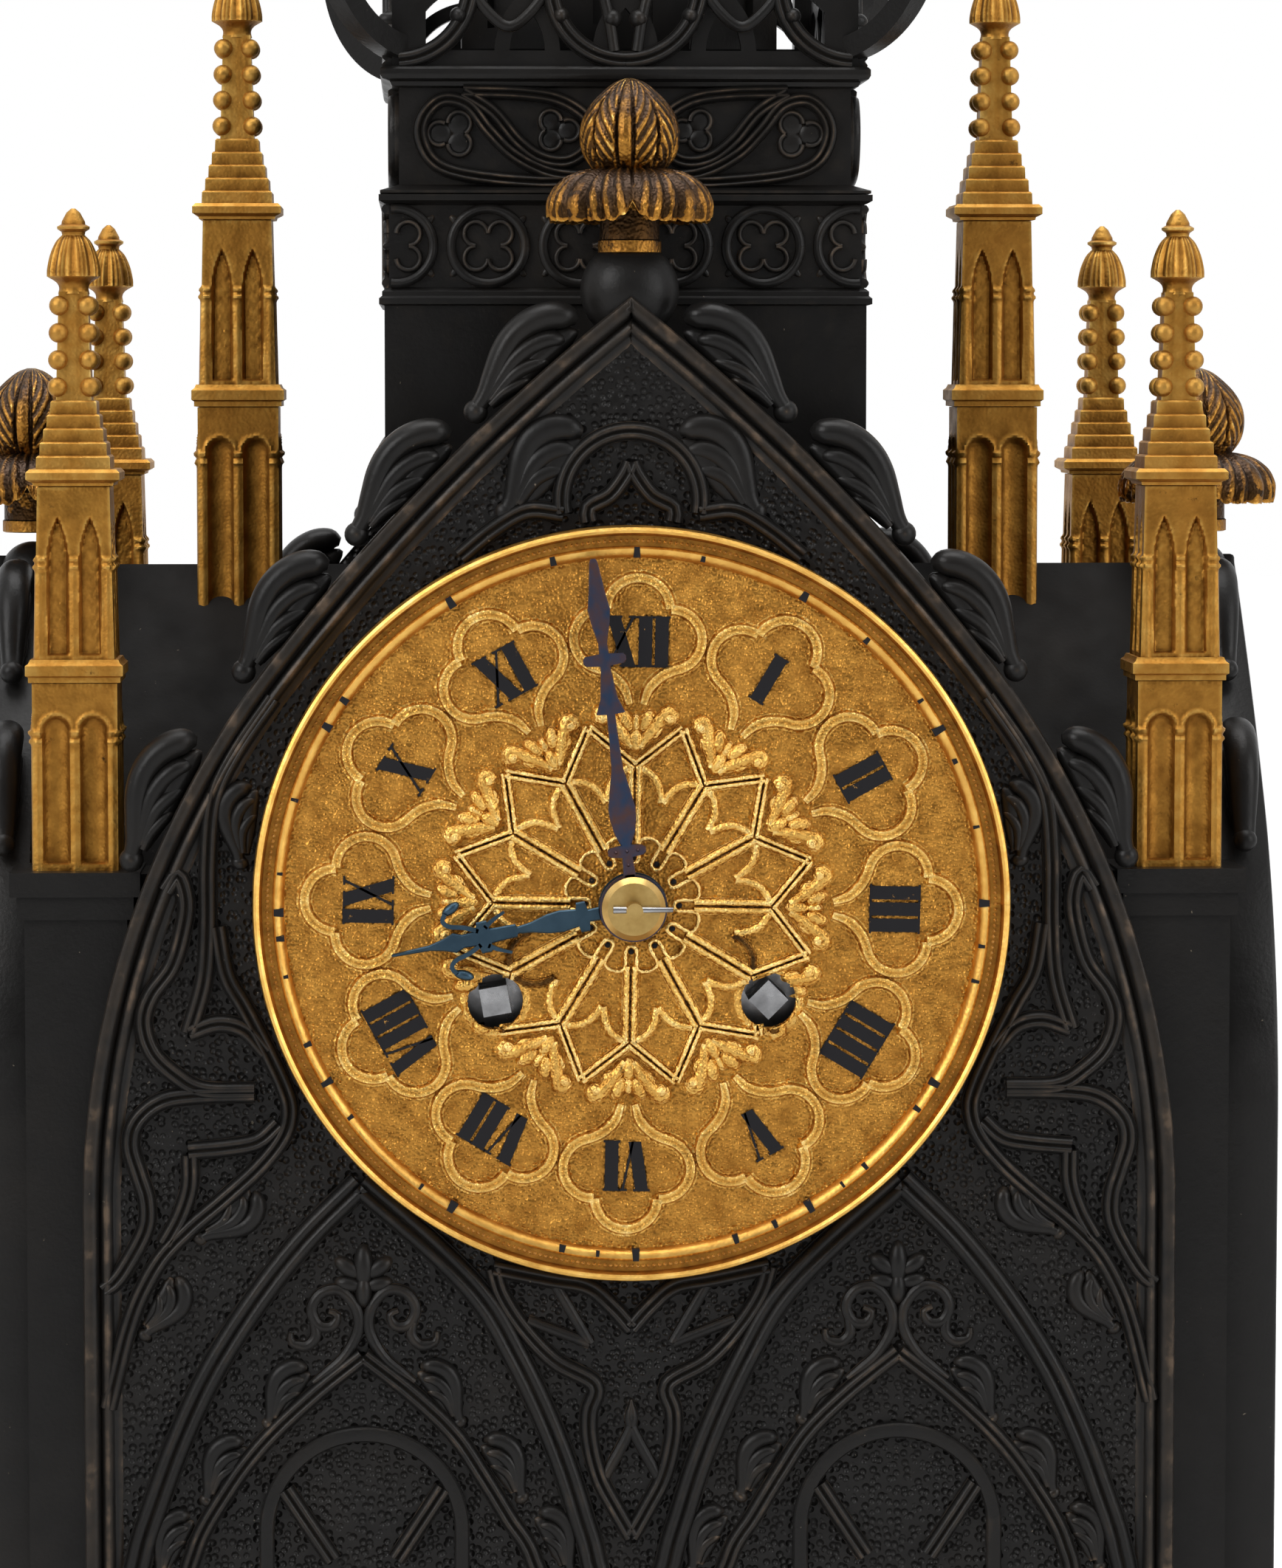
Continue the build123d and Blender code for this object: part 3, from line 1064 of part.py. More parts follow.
def placed(face, at, start, depth):
    """Set a wheel face at a point of the movement; start is measured from the front plate."""
    return upright(Pos(at[0], DIAL_Z + at[1]) * face, PLATE_INNER_Y + start, depth)


def arbor(at, front_extra=0.0, rear_extra=0.0):
    """Arbor between the plates with a pivot in each."""
    body = placed(Circle(ARBOR_RADIUS), at, END_SHAKE, PLATE_GAP - 2 * END_SHAKE)
    front = END_SHAKE + PLATE_THICK + front_extra
    rear = END_SHAKE + PLATE_THICK + rear_extra
    body += placed(Circle(PIVOT_RADIUS), at, END_SHAKE - front, front)
    body += placed(Circle(PIVOT_RADIUS), at, PLATE_GAP - END_SHAKE, rear)
    return body


def distance(module, first, second):
    return module * (first + second) / 2


centre_at = (0.0, 0.0)
going_at = (WINDING_X, -WINDING_DROP)
strike_at = (-WINDING_X, -WINDING_DROP)
intermediate_at = third_point(
    centre_at, going_at, distance(INTERMEDIATE_MODULE, INTERMEDIATE_TEETH, CENTRE_LEAVES),
    distance(GREAT_MODULE, GREAT_TEETH, INTERMEDIATE_LEAVES), -1)
escape_at = (0.0, ESCAPE_RISE)
third_at = third_point(
    centre_at, escape_at, distance(CENTRE_MODULE, CENTRE_TEETH, THIRD_LEAVES),
    distance(THIRD_MODULE, THIRD_TEETH, ESCAPE_LEAVES), -1)
minute_at = (0.0, -distance(MINUTE_MODULE, CANNON_LEAVES, MINUTE_TEETH))
hour_module = 2 * -minute_at[1] / (MINUTE_LEAVES + HOUR_TEETH)
pin_wheel_at = polar(strike_at, distance(STRIKE_MODULE, STRIKE_TEETH, PIN_LEAVES), PIN_WHEEL_BEARING)
fly_at = polar(pin_wheel_at, distance(PIN_MODULE, PIN_TEETH, FLY_LEAVES), FLY_BEARING)
hammer_at = polar(centre_at, HAMMER_RING, HAMMER_BEARING)
anchor_at = (0.0, ANCHOR_RISE)

# Stations of the wheels, measured back from the front plate's inner face
going_great_start = BARREL_START + GOING_DRUM_LENGTH
intermediate_start = going_great_start + GREAT_THICK + INTERMEDIATE_GAP
centre_start = intermediate_start + WHEEL_THICK + CENTRE_GAP
escape_start = intermediate_start - ESCAPE_LEAD
strike_drum_start = BARREL_START + GREAT_THICK
pin_wheel_start = strike_drum_start + STRIKE_DRUM_LENGTH + 1.0


def face_start(start, thick):
    """Start of a pinion face centred on a wheel of the given thickness."""
    return start + thick / 2 - PINION_FACE / 2


# Going train
centre_pinion_turn = 0.0
intermediate_turn = mesh_turn(
    centre_at, CENTRE_LEAVES, centre_pinion_turn, intermediate_at, INTERMEDIATE_TEETH)
intermediate_pinion_turn = 0.0
going_turn = mesh_turn(intermediate_at, INTERMEDIATE_LEAVES, intermediate_pinion_turn, going_at, GREAT_TEETH)
centre_turn = 0.0
third_pinion_turn = mesh_turn(centre_at, CENTRE_TEETH, centre_turn, third_at, THIRD_LEAVES)
third_turn = 0.0
escape_pinion_turn = mesh_turn(third_at, THIRD_TEETH, third_turn, escape_at, ESCAPE_LEAVES)

centre_face = crossed(
    wheel(CENTRE_TEETH, CENTRE_MODULE, centre_turn), CENTRE_TEETH, CENTRE_MODULE, CENTRE_HUB, WHEEL_SPOKES, 0)
centre_wheel = placed(centre_face, centre_at, centre_start, WHEEL_THICK)
centre_wheel += placed(
    pinion(CENTRE_LEAVES, INTERMEDIATE_MODULE, centre_pinion_turn), centre_at,
    face_start(intermediate_start, WHEEL_THICK), PINION_FACE)
centre_wheel += rod_y(0, DIAL_Z, CENTRE_RADIUS, centre_tip_y, BACK_OUTER_Y)
centre_wheel -= taper_pin

intermediate_face = crossed(
    wheel(INTERMEDIATE_TEETH, INTERMEDIATE_MODULE, intermediate_turn),
    INTERMEDIATE_TEETH, INTERMEDIATE_MODULE, INTERMEDIATE_HUB, WHEEL_SPOKES, INTERMEDIATE_SPOKE_TURN)
intermediate_wheel = placed(intermediate_face, intermediate_at, intermediate_start, WHEEL_THICK)
intermediate_wheel += placed(
    pinion(INTERMEDIATE_LEAVES, GREAT_MODULE, intermediate_pinion_turn), intermediate_at,
    face_start(going_great_start, GREAT_THICK), PINION_FACE)
intermediate_wheel += arbor(intermediate_at)

third_face = crossed(
    wheel(THIRD_TEETH, THIRD_MODULE, third_turn), THIRD_TEETH, THIRD_MODULE, THIRD_HUB, WHEEL_SPOKES,
    THIRD_SPOKE_TURN)
third_wheel = placed(third_face, third_at, intermediate_start, WHEEL_THICK)
third_wheel += placed(
    pinion(THIRD_LEAVES, CENTRE_MODULE, third_pinion_turn), third_at,
    face_start(centre_start, WHEEL_THICK), PINION_FACE)
third_wheel += arbor(third_at)


def escape_face():
    points = []
    root = ESCAPE_RADIUS - ESCAPE_TOOTH
    for k in range(ESCAPE_TEETH):
        angle = 360 / ESCAPE_TEETH * k
        points.append(polar((0, 0), root, angle - ESCAPE_FLANK_LEAD))
        points.append(polar((0, 0), ESCAPE_RADIUS, angle - 0.5))
        points.append(polar((0, 0), ESCAPE_RADIUS, angle + 0.5))
        points.append(polar((0, 0), root, angle + ESCAPE_FLANK_TRAIL))
    face = make_face(Polyline(*points, close=True))
    windows = Circle(root - ESCAPE_RIM) - Circle(ESCAPE_HUB)
    for k in range(4):
        windows -= Rot(0, 0, 90 * k) * Pos(root / 2, 0) * Rectangle(root, ESCAPE_SPOKE)
    return face - windows


escape_wheel = placed(escape_face(), escape_at, escape_start, WHEEL_THICK)
escape_wheel += placed(
    pinion(ESCAPE_LEAVES, THIRD_MODULE, escape_pinion_turn), escape_at,
    face_start(intermediate_start, WHEEL_THICK), PINION_FACE)
escape_wheel += arbor(escape_at)


# Barrels: hollow toothed drums that turn on the winding arbors
def barrel(at, face, great_start, drum_radius, drum_start, drum_length):
    inner = drum_radius - DRUM_WALL
    body = placed(Circle(drum_radius), at, drum_start, drum_length)
    body += placed(face, at, great_start, GREAT_THICK)
    body -= placed(Circle(inner), at, drum_start + DRUM_WALL, drum_length - 2 * DRUM_WALL)
    return body - placed(Circle(WINDING_RADIUS + RUNNING_FIT), at, 0, PLATE_GAP)


def mainspring(at, drum_radius, drum_start, drum_length):
    """Coiled strip that ends on the wall of the drum."""
    reach = drum_radius - DRUM_WALL - RUNNING_FIT
    inner, outer = [], []
    steps = SPRING_TURNS * 12
    for k in range(steps + 1):
        angle = 30 * k
        radius = SPRING_CORE + (reach - SPRING_THICK - SPRING_CORE) * k / steps
        inner.append(polar((0, 0), radius, angle))
        outer.append(polar((0, 0), radius + SPRING_THICK, angle))
    outline = Curve() + [Spline(*inner), Spline(*outer), Line(inner[0], outer[0]), Line(inner[-1], outer[-1])]
    return placed(make_face(outline), at, drum_start + DRUM_WALL + 1, drum_length - 2 * DRUM_WALL - 2)


going_face = wheel(GREAT_TEETH, GREAT_MODULE, going_turn)
going_barrel = barrel(
    going_at, going_face, going_great_start, GOING_DRUM_RADIUS, BARREL_START, GOING_DRUM_LENGTH)
going_mainspring = mainspring(going_at, GOING_DRUM_RADIUS, BARREL_START, GOING_DRUM_LENGTH)
strike_turn = 0.0
strike_face = wheel(STRIKE_TEETH, STRIKE_MODULE, strike_turn)
strike_barrel = barrel(
    strike_at, strike_face, BARREL_START, STRIKE_DRUM_RADIUS, strike_drum_start, STRIKE_DRUM_LENGTH)
strike_mainspring = mainspring(strike_at, STRIKE_DRUM_RADIUS, strike_drum_start, STRIKE_DRUM_LENGTH)


def ratchet_face():
    points = []
    for k in range(RATCHET_TEETH):
        angle = 360 / RATCHET_TEETH * k
        points.append(polar((0, 0), RATCHET_RADIUS, angle))
        points.append(polar((0, 0), RATCHET_RADIUS - RATCHET_TOOTH, angle + RATCHET_LEAN))
    return make_face(Polyline(*points, close=True))


def winding_arbor(at, square_turn):
    front = DIAL_FRONT_Y + WINDING_SQUARE_RECESS
    body = placed(Circle(WINDING_RADIUS), at, -PLATE_THICK - RATCHET_GAP, PLATE_GAP + PLATE_THICK)
    body += placed(Circle(WINDING_REAR_RADIUS), at, PLATE_GAP - END_SHAKE, END_SHAKE + PLATE_THICK)
    ratchet_start = -PLATE_THICK - RATCHET_GAP - RATCHET_THICK
    body += placed(ratchet_face(), at, ratchet_start, RATCHET_THICK)
    square_length = PLATE_INNER_Y + ratchet_start - front
    square = Rot(0, 0, square_turn) * Rectangle(WINDING_SQUARE, WINDING_SQUARE)
    return body + placed(square, at, ratchet_start - square_length, square_length)


going_winding = winding_arbor(going_at, 45)
strike_winding = winding_arbor(strike_at, STRIKE_RATCHET_TURN)

# Strike train
pin_pinion_turn = mesh_turn(strike_at, STRIKE_TEETH, strike_turn, pin_wheel_at, PIN_LEAVES)
pin_turn = 0.0
fly_pinion_turn = mesh_turn(pin_wheel_at, PIN_TEETH, pin_turn, fly_at, FLY_LEAVES)
pin_wheel = placed(wheel(PIN_TEETH, PIN_MODULE, pin_turn), pin_wheel_at, pin_wheel_start, WHEEL_THICK)
pin_wheel += placed(
    pinion(PIN_LEAVES, STRIKE_MODULE, pin_pinion_turn), pin_wheel_at,
    face_start(BARREL_START, GREAT_THICK), PINION_FACE)
pin_wheel += arbor(pin_wheel_at)
for k in range(LIFTING_PINS):
    pin_at = polar(pin_wheel_at, LIFTING_PIN_RING, 360 / LIFTING_PINS * k)
    pin_wheel += placed(Circle(LIFTING_PIN_RADIUS), pin_at, pin_wheel_start + WHEEL_THICK, LIFTING_PIN_LENGTH)
fly = placed(
    pinion(FLY_LEAVES, PIN_MODULE, fly_pinion_turn), fly_at,
    face_start(pin_wheel_start, WHEEL_THICK), PINION_FACE)
fly += arbor(fly_at)
fly += placed(Rectangle(2 * FLY_HALF_WIDTH, FLY_THICK), fly_at, FLY_START, FLY_HEIGHT)

# Hammer: arbor, tail beside the lifting pins, arm and head outside the back plate
hammer = arbor(hammer_at, rear_extra=BELL_MOUTH_Y + 3 - BACK_OUTER_Y)
tail_bearing = bearing(hammer_at, pin_wheel_at)
tail_reach = math.hypot(pin_wheel_at[0] - hammer_at[0], pin_wheel_at[1] - hammer_at[1])
tail_length = tail_reach - LIFTING_PIN_RING - LIFTING_PIN_RADIUS - HAMMER_TAIL_CLEAR
tail = Rot(0, 0, tail_bearing) * Pos(tail_length / 2, 0) * Rectangle(tail_length, HAMMER_TAIL_WIDTH)
hammer += placed(tail, hammer_at, pin_wheel_start + WHEEL_THICK + HAMMER_TAIL_GAP, HAMMER_TAIL_THICK)
head_ring = BELL_RADIUS + HAMMER_HEAD_RADIUS + HAMMER_GAP
head_at = polar(centre_at, head_ring, HAMMER_HEAD_BEARING)
arm_length = math.hypot(head_at[0] - hammer_at[0], head_at[1] - hammer_at[1])
arm = Pos(arm_length / 2, 0) * Rectangle(arm_length + HAMMER_ARM, HAMMER_ARM)
arm = Rot(0, 0, bearing(hammer_at, head_at)) * arm
hammer += upright(Pos(hammer_at[0], DIAL_Z + hammer_at[1]) * arm, BELL_MOUTH_Y + 1, HAMMER_ARM_THICK)
head_y = BELL_MOUTH_Y + 0.5
hammer += rod_y(head_at[0], DIAL_Z + head_at[1], HAMMER_HEAD_RADIUS, head_y, head_y + HAMMER_HEAD_LENGTH)

# Motion work between the front plate and the dial
minute_start = -PLATE_THICK - MOTION_GAP
hour_start = minute_start - HOUR_WHEEL_LEAD
cannon_turn = 0.0
minute_turn = mesh_turn(centre_at, CANNON_LEAVES, cannon_turn, minute_at, MINUTE_TEETH)
minute_pinion_turn = 0.0
hour_turn = mesh_turn(minute_at, MINUTE_LEAVES, minute_pinion_turn, centre_at, HOUR_TEETH)
cannon = placed(
    pinion(CANNON_LEAVES, MINUTE_MODULE, cannon_turn), centre_at,
    face_start(minute_start, WHEEL_THICK), PINION_FACE)
cannon += rod_y(0, DIAL_Z, CANNON_RADIUS, MINUTE_HAND_Y, PLATE_INNER_Y + minute_start)
cannon -= rod_y(0, DIAL_Z, CENTRE_RADIUS, MINUTE_HAND_Y, FRONT_PLATE_Y)
minute_wheel = placed(wheel(MINUTE_TEETH, MINUTE_MODULE, minute_turn), minute_at, minute_start, WHEEL_THICK)
minute_pinion_start = face_start(hour_start, WHEEL_THICK)
minute_wheel += placed(
    pinion(MINUTE_LEAVES, hour_module, minute_pinion_turn), minute_at,
    minute_pinion_start, minute_start - minute_pinion_start)
stud_bore = Circle(ARBOR_RADIUS + RUNNING_FIT)
minute_wheel -= placed(stud_bore, minute_at, hour_start - STUD_CLEAR, 2 * STUD_CLEAR + HOUR_WHEEL_LEAD)
hour_wheel = placed(wheel(HOUR_TEETH, hour_module, hour_turn), centre_at, hour_start, WHEEL_THICK)
hour_wheel += rod_y(0, DIAL_Z, HOUR_PIPE_RADIUS, HOUR_HAND_Y, PLATE_INNER_Y + hour_start)
hour_wheel -= rod_y(0, DIAL_Z, CANNON_RADIUS + RUNNING_FIT, HOUR_HAND_Y, FRONT_PLATE_Y)

# Plates with pivot holes, pillars between them and the minute wheel's stud
front_plate = placed(Circle(PLATE_RADIUS), centre_at, -PLATE_THICK, PLATE_THICK)
back_plate = placed(Circle(PLATE_RADIUS), centre_at, PLATE_GAP, PLATE_THICK)
pivots = (intermediate_at, third_at, escape_at, pin_wheel_at, fly_at, hammer_at, anchor_at)
for at in pivots:
    hole = placed(Circle(PIVOT_RADIUS + RUNNING_FIT), at, -PLATE_THICK, PLATE_GAP + 2 * PLATE_THICK)
    front_plate -= hole
    back_plate -= hole
through = PLATE_GAP + 2 * PLATE_THICK
centre_hole = placed(Circle(CENTRE_RADIUS + RUNNING_FIT), centre_at, -PLATE_THICK, through)
front_plate -= centre_hole
back_plate -= centre_hole
for at in (going_at, strike_at):
    front_plate -= placed(Circle(WINDING_RADIUS + RUNNING_FIT), at, -PLATE_THICK, PLATE_THICK)
    back_plate -= placed(Circle(WINDING_REAR_RADIUS + RUNNING_FIT), at, PLATE_GAP, PLATE_THICK)
stud_length = PLATE_INNER_Y - PLATE_THICK - (PLATE_INNER_Y + hour_start - STUD_PROUD)
front_plate += placed(Circle(ARBOR_RADIUS), minute_at, hour_start - STUD_PROUD, stud_length)
pillars = []
for angle in PILLAR_ANGLES:
    at = polar(centre_at, PILLAR_RING, angle)
    pillar = placed(Circle(PILLAR_RADIUS), at, 0, PLATE_GAP)
    tenon = placed(Circle(PILLAR_TENON_RADIUS), at, -PLATE_THICK, PLATE_GAP + 2 * PLATE_THICK)
    front_plate -= tenon
    back_plate -= tenon
    pillars.append(pillar + tenon)

# Anchor with pallets just clear of the escape wheel, and the crutch behind the plate
nib = polar((0, ESCAPE_RISE - ANCHOR_RISE), ESCAPE_RADIUS + PALLET_CLEAR, 90 - PALLET_ANGLE)
arm = [
    (nib[0] + PALLET_SHOULDER[0], nib[1] + PALLET_SHOULDER[1]),
    (nib[0] + PALLET_HEEL[0], nib[1] + PALLET_HEEL[1])]
cheek = (nib[0] - PALLET_CHEEK[0], nib[1] + PALLET_CHEEK[1])
anchor_face = make_face(Polyline(
    (-ANCHOR_HEAD_HALF, ANCHOR_HEAD_RISE), (ANCHOR_HEAD_HALF, ANCHOR_HEAD_RISE),
    *arm, nib, cheek, (0, -ANCHOR_BELLY), (-cheek[0], cheek[1]), (-nib[0], nib[1]),
    *((-x, z) for x, z in reversed(arm)), close=True))
crutch_y = BACK_OUTER_Y + CRUTCH_STANDOFF
anchor = placed(anchor_face, anchor_at, escape_start + WHEEL_THICK / 2 - ANCHOR_THICK / 2, ANCHOR_THICK)
anchor += arbor(anchor_at, rear_extra=CRUTCH_STANDOFF + CRUTCH_THICK)
crutch_half = CRUTCH_WIDTH / 2
crutch_back = crutch_y + CRUTCH_THICK
fork_low = ANCHOR_Z - CRUTCH_LENGTH
fork_top = fork_low + FORK_HEIGHT
anchor += block(-crutch_half, crutch_half, crutch_y, crutch_back, fork_low, ANCHOR_Z + CRUTCH_HEAD)
prong = PENDULUM_ROD_RADIUS + FORK_CLEAR
yoke = prong + FORK_PRONG
anchor += block(-yoke, yoke, crutch_y, crutch_back, fork_low, fork_top)
fork_end = PENDULUM_Y + PENDULUM_ROD_RADIUS + FORK_REACH
for side in (-1, 1):
    near = side * prong
    far = side * yoke
    low_x, high_x = min(near, far), max(near, far)
    anchor += block(low_x, high_x, crutch_y, fork_end, fork_low, fork_top)

# Suspension cock, pendulum and rating nut
cock_z = ANCHOR_Z + SUSPENSION_ABOVE
cock_back = BACK_OUTER_Y + COCK_DEPTH
cock = block(-COCK_HALF_WIDTH, COCK_HALF_WIDTH, BACK_OUTER_Y, cock_back, cock_z, cock_z + COCK_HEIGHT)
rod_top = cock_z - SUSPENSION_LENGTH
bob_z = ANCHOR_Z - PENDULUM_LENGTH
rod_low = bob_z - PENDULUM_TAIL
nut_top = bob_z - BOB_RADIUS + 1.0
pendulum_rod = Pos(0, PENDULUM_Y, (rod_top + rod_low) / 2) * Cylinder(PENDULUM_ROD_RADIUS, rod_top - rod_low)
pendulum_rod += block(
    -SUSPENSION_THICK / 2, SUSPENSION_THICK / 2, PENDULUM_Y - SUSPENSION_WIDTH / 2,
    PENDULUM_Y + SUSPENSION_WIDTH / 2, rod_top, cock_z - SUSPENSION_FIT)
rod_hole = Pos(0, PENDULUM_Y, bob_z) * Cylinder(PENDULUM_ROD_RADIUS, 4 * BOB_RADIUS)
bob_sag = (BOB_THICK - BOB_EDGE) / 2
bob_sphere = (BOB_RADIUS ** 2 + bob_sag ** 2) / (2 * bob_sag)
bob = rod_y(0, bob_z, BOB_RADIUS, PENDULUM_Y - BOB_THICK / 2, PENDULUM_Y + BOB_THICK / 2)
for side in (-1, 1):
    bob &= Pos(0, PENDULUM_Y + side * (bob_sphere - BOB_THICK / 2), bob_z) * Sphere(bob_sphere)
bob -= rod_hole
bob_low = bob_z - 2 * BOB_RADIUS
bob -= block(-BOB_RADIUS, BOB_RADIUS, PENDULUM_Y - BOB_THICK, PENDULUM_Y + BOB_THICK, bob_low, nut_top)
nut = Pos(0, PENDULUM_Y, nut_top - NUT_HEIGHT / 2) * Cylinder(NUT_RADIUS, NUT_HEIGHT)
nut -= Pos(0, PENDULUM_Y, bob_z) * Cylinder(PENDULUM_ROD_RADIUS + RUNNING_FIT, 4 * BOB_RADIUS)

# Bell on its stand behind the pendulum
bell_back = BELL_MOUTH_Y + BELL_DEPTH
bell_profile = Ellipse(BELL_RADIUS, BELL_DEPTH) - Ellipse(BELL_RADIUS - BELL_WALL, BELL_DEPTH - BELL_WALL)
bell_profile &= Pos(BELL_RADIUS / 2, BELL_DEPTH / 2) * Rectangle(BELL_RADIUS, BELL_DEPTH)
bell = Pos(0, BELL_MOUTH_Y, DIAL_Z) * revolve(bell_profile, Axis.Y)
bell -= rod_y(0, DIAL_Z, BELL_STUD_RADIUS + BELL_HOLE_FIT, BELL_MOUTH_Y, bell_back + BELL_CLEAR)
bell_seat = bell_back - BELL_SEAT_DEPTH
bell -= rod_y(0, DIAL_Z, BELL_SEAT_RADIUS, bell_seat, bell_back + BELL_CLEAR)
post_z = DIAL_Z - BELL_POST_DROP
stand = rod_y(BELL_POST_X, post_z, BELL_POST_RADIUS, BACK_OUTER_Y, bell_seat + BELL_BAR)
bar_length = math.hypot(BELL_POST_X, BELL_POST_DROP)
bar_turn = bearing((0, 0), (BELL_POST_X, -BELL_POST_DROP))
bar = Pos(bar_length / 2, 0) * Rectangle(bar_length, 2 * BELL_POST_RADIUS)
bar = Rot(0, 0, bar_turn) * bar
bar += Circle(BELL_POST_RADIUS * 2)
stand += upright(Pos(0, DIAL_Z) * bar, bell_seat, BELL_BAR)
stand += rod_y(0, DIAL_Z, BELL_STUD_RADIUS, bell_back - BELL_STUD_LENGTH, bell_back)

# Straps from the bezel's lip to the back bezel, with their screws
straps = []
screws = []
back_bezel_y = CASE_BACK_Y + BACK_BEZEL_DEPTH
bezel_holes = []
for tilt in (STRAP_TILT, 180 - STRAP_TILT):
    turn = Pos(0, 0, DIAL_Z) * Rot(0, -tilt, 0)
    half = STRAP_WIDTH / 2
    strap_outer = STRAP_INNER + STRAP_THICK
    bar = block(STRAP_INNER, strap_outer, FIELD_Y, CASE_BACK_Y, -half, half)
    bar += block(strap_outer - STRAP_LUG, strap_outer, CASE_BACK_Y - STRAP_LUG_LENGTH, CASE_BACK_Y, -half, half)
    shank = rod_y(STRAP_SCREW_RING, 0, STRAP_SCREW_RADIUS, back_bezel_y - STRAP_SCREW_LENGTH, back_bezel_y)
    head = rod_y(STRAP_SCREW_RING, 0, STRAP_SCREW_HEAD, back_bezel_y, back_bezel_y + STRAP_SCREW_HEAD_HEIGHT)
    straps.append(turn * (bar - shank))
    screws.append(turn * (shank + head))
    bezel_holes.append(turn * shank)

# Back bezel with hinge knuckles and pin, and the back door that swings on it
ring = Circle(BACK_BEZEL_RADIUS) - Circle(BACK_BEZEL_INNER)
back_bezel = upright(Pos(0, DIAL_Z) * ring, CASE_BACK_Y, BACK_BEZEL_DEPTH)
back_bezel = cut_to(back_bezel, *bezel_holes)
door_y = back_bezel_y + BACK_DOOR_GAP
hinge_y = back_bezel_y + BACK_DOOR_GAP + HINGE_RADIUS
knuckle_half = HINGE_KNUCKLE / 2
for side in (-1, 1):
    near = DIAL_Z + side * (knuckle_half + HINGE_GAP)
    far = near + side * HINGE_LUG
    lug_mid = (near + far) / 2
    back_bezel += Pos(-HINGE_X, hinge_y, lug_mid) * Cylinder(HINGE_RADIUS, HINGE_LUG)
    lug_low, lug_high = min(near, far), max(near, far)
    back_bezel += block(
        -HINGE_X - HINGE_RADIUS, -HINGE_X + HINGE_RADIUS, back_bezel_y, hinge_y, lug_low, lug_high)
pin_length = HINGE_KNUCKLE + 2 * HINGE_GAP + 2 * HINGE_LUG
back_bezel += Pos(-HINGE_X, hinge_y, DIAL_Z) * Cylinder(HINGE_PIN_RADIUS, pin_length)
door = rod_y(0, DIAL_Z, BACK_DOOR_RADIUS, door_y, door_y + BACK_DOOR_THICK)
door_back = door_y + BACK_DOOR_THICK
leaf_low = DIAL_Z - knuckle_half
leaf_high = DIAL_Z + knuckle_half
door += block(-HINGE_X, -BACK_DOOR_RADIUS + 3, door_y, door_back, leaf_low, leaf_high)
door += Pos(-HINGE_X, hinge_y, DIAL_Z) * Cylinder(HINGE_RADIUS, HINGE_KNUCKLE)
door -= Pos(-HINGE_X, hinge_y, DIAL_Z) * Cylinder(HINGE_PIN_RADIUS + RUNNING_FIT, HINGE_KNUCKLE + 1)
knob_x = BACK_DOOR_RADIUS - DOOR_KNOB_INSET
door += rod_y(knob_x, DIAL_Z, BACK_KNOB_RADIUS, door_back, door_back + BACK_KNOB_LENGTH)

# Placed pinnacles and finials
corner_places = {
    "pinnacle_front_left": (-CORNER_PIN_X, -CORNER_PIN_Y),
    "pinnacle_front_right": (CORNER_PIN_X, -CORNER_PIN_Y),
    "pinnacle_rear_left": (-CORNER_PIN_X, CORNER_PIN_Y),
    "pinnacle_rear_right": (CORNER_PIN_X, CORNER_PIN_Y)}
nodes = {}
for name, (x, y) in corner_places.items():
    nodes[name] = Pos(x, y, PILASTER_TOP_Z) * corner_pinnacle
for name, side in (("pinnacle_ridge_left", -1), ("pinnacle_ridge_right", 1)):
    nodes[name] = Pos(side * RIDGE_PIN_X, 0, RIDGE_PIN_Z) * ridge_pinnacle - transept_outer
front_finial = Pos(0, FRONT_FINIAL_Y, FRONT_BALL_Z) * bud_finial
outer_finials = [
    Pos(0, -FRONT_FINIAL_Y, FRONT_BALL_Z) * bud_finial,
    Pos(-SIDE_FINIAL_X, 0, SIDE_BALL_Z + SIDE_FINIAL_RISE) * side_finial,
    Pos(SIDE_FINIAL_X, 0, SIDE_BALL_Z + SIDE_FINIAL_RISE) * side_finial]

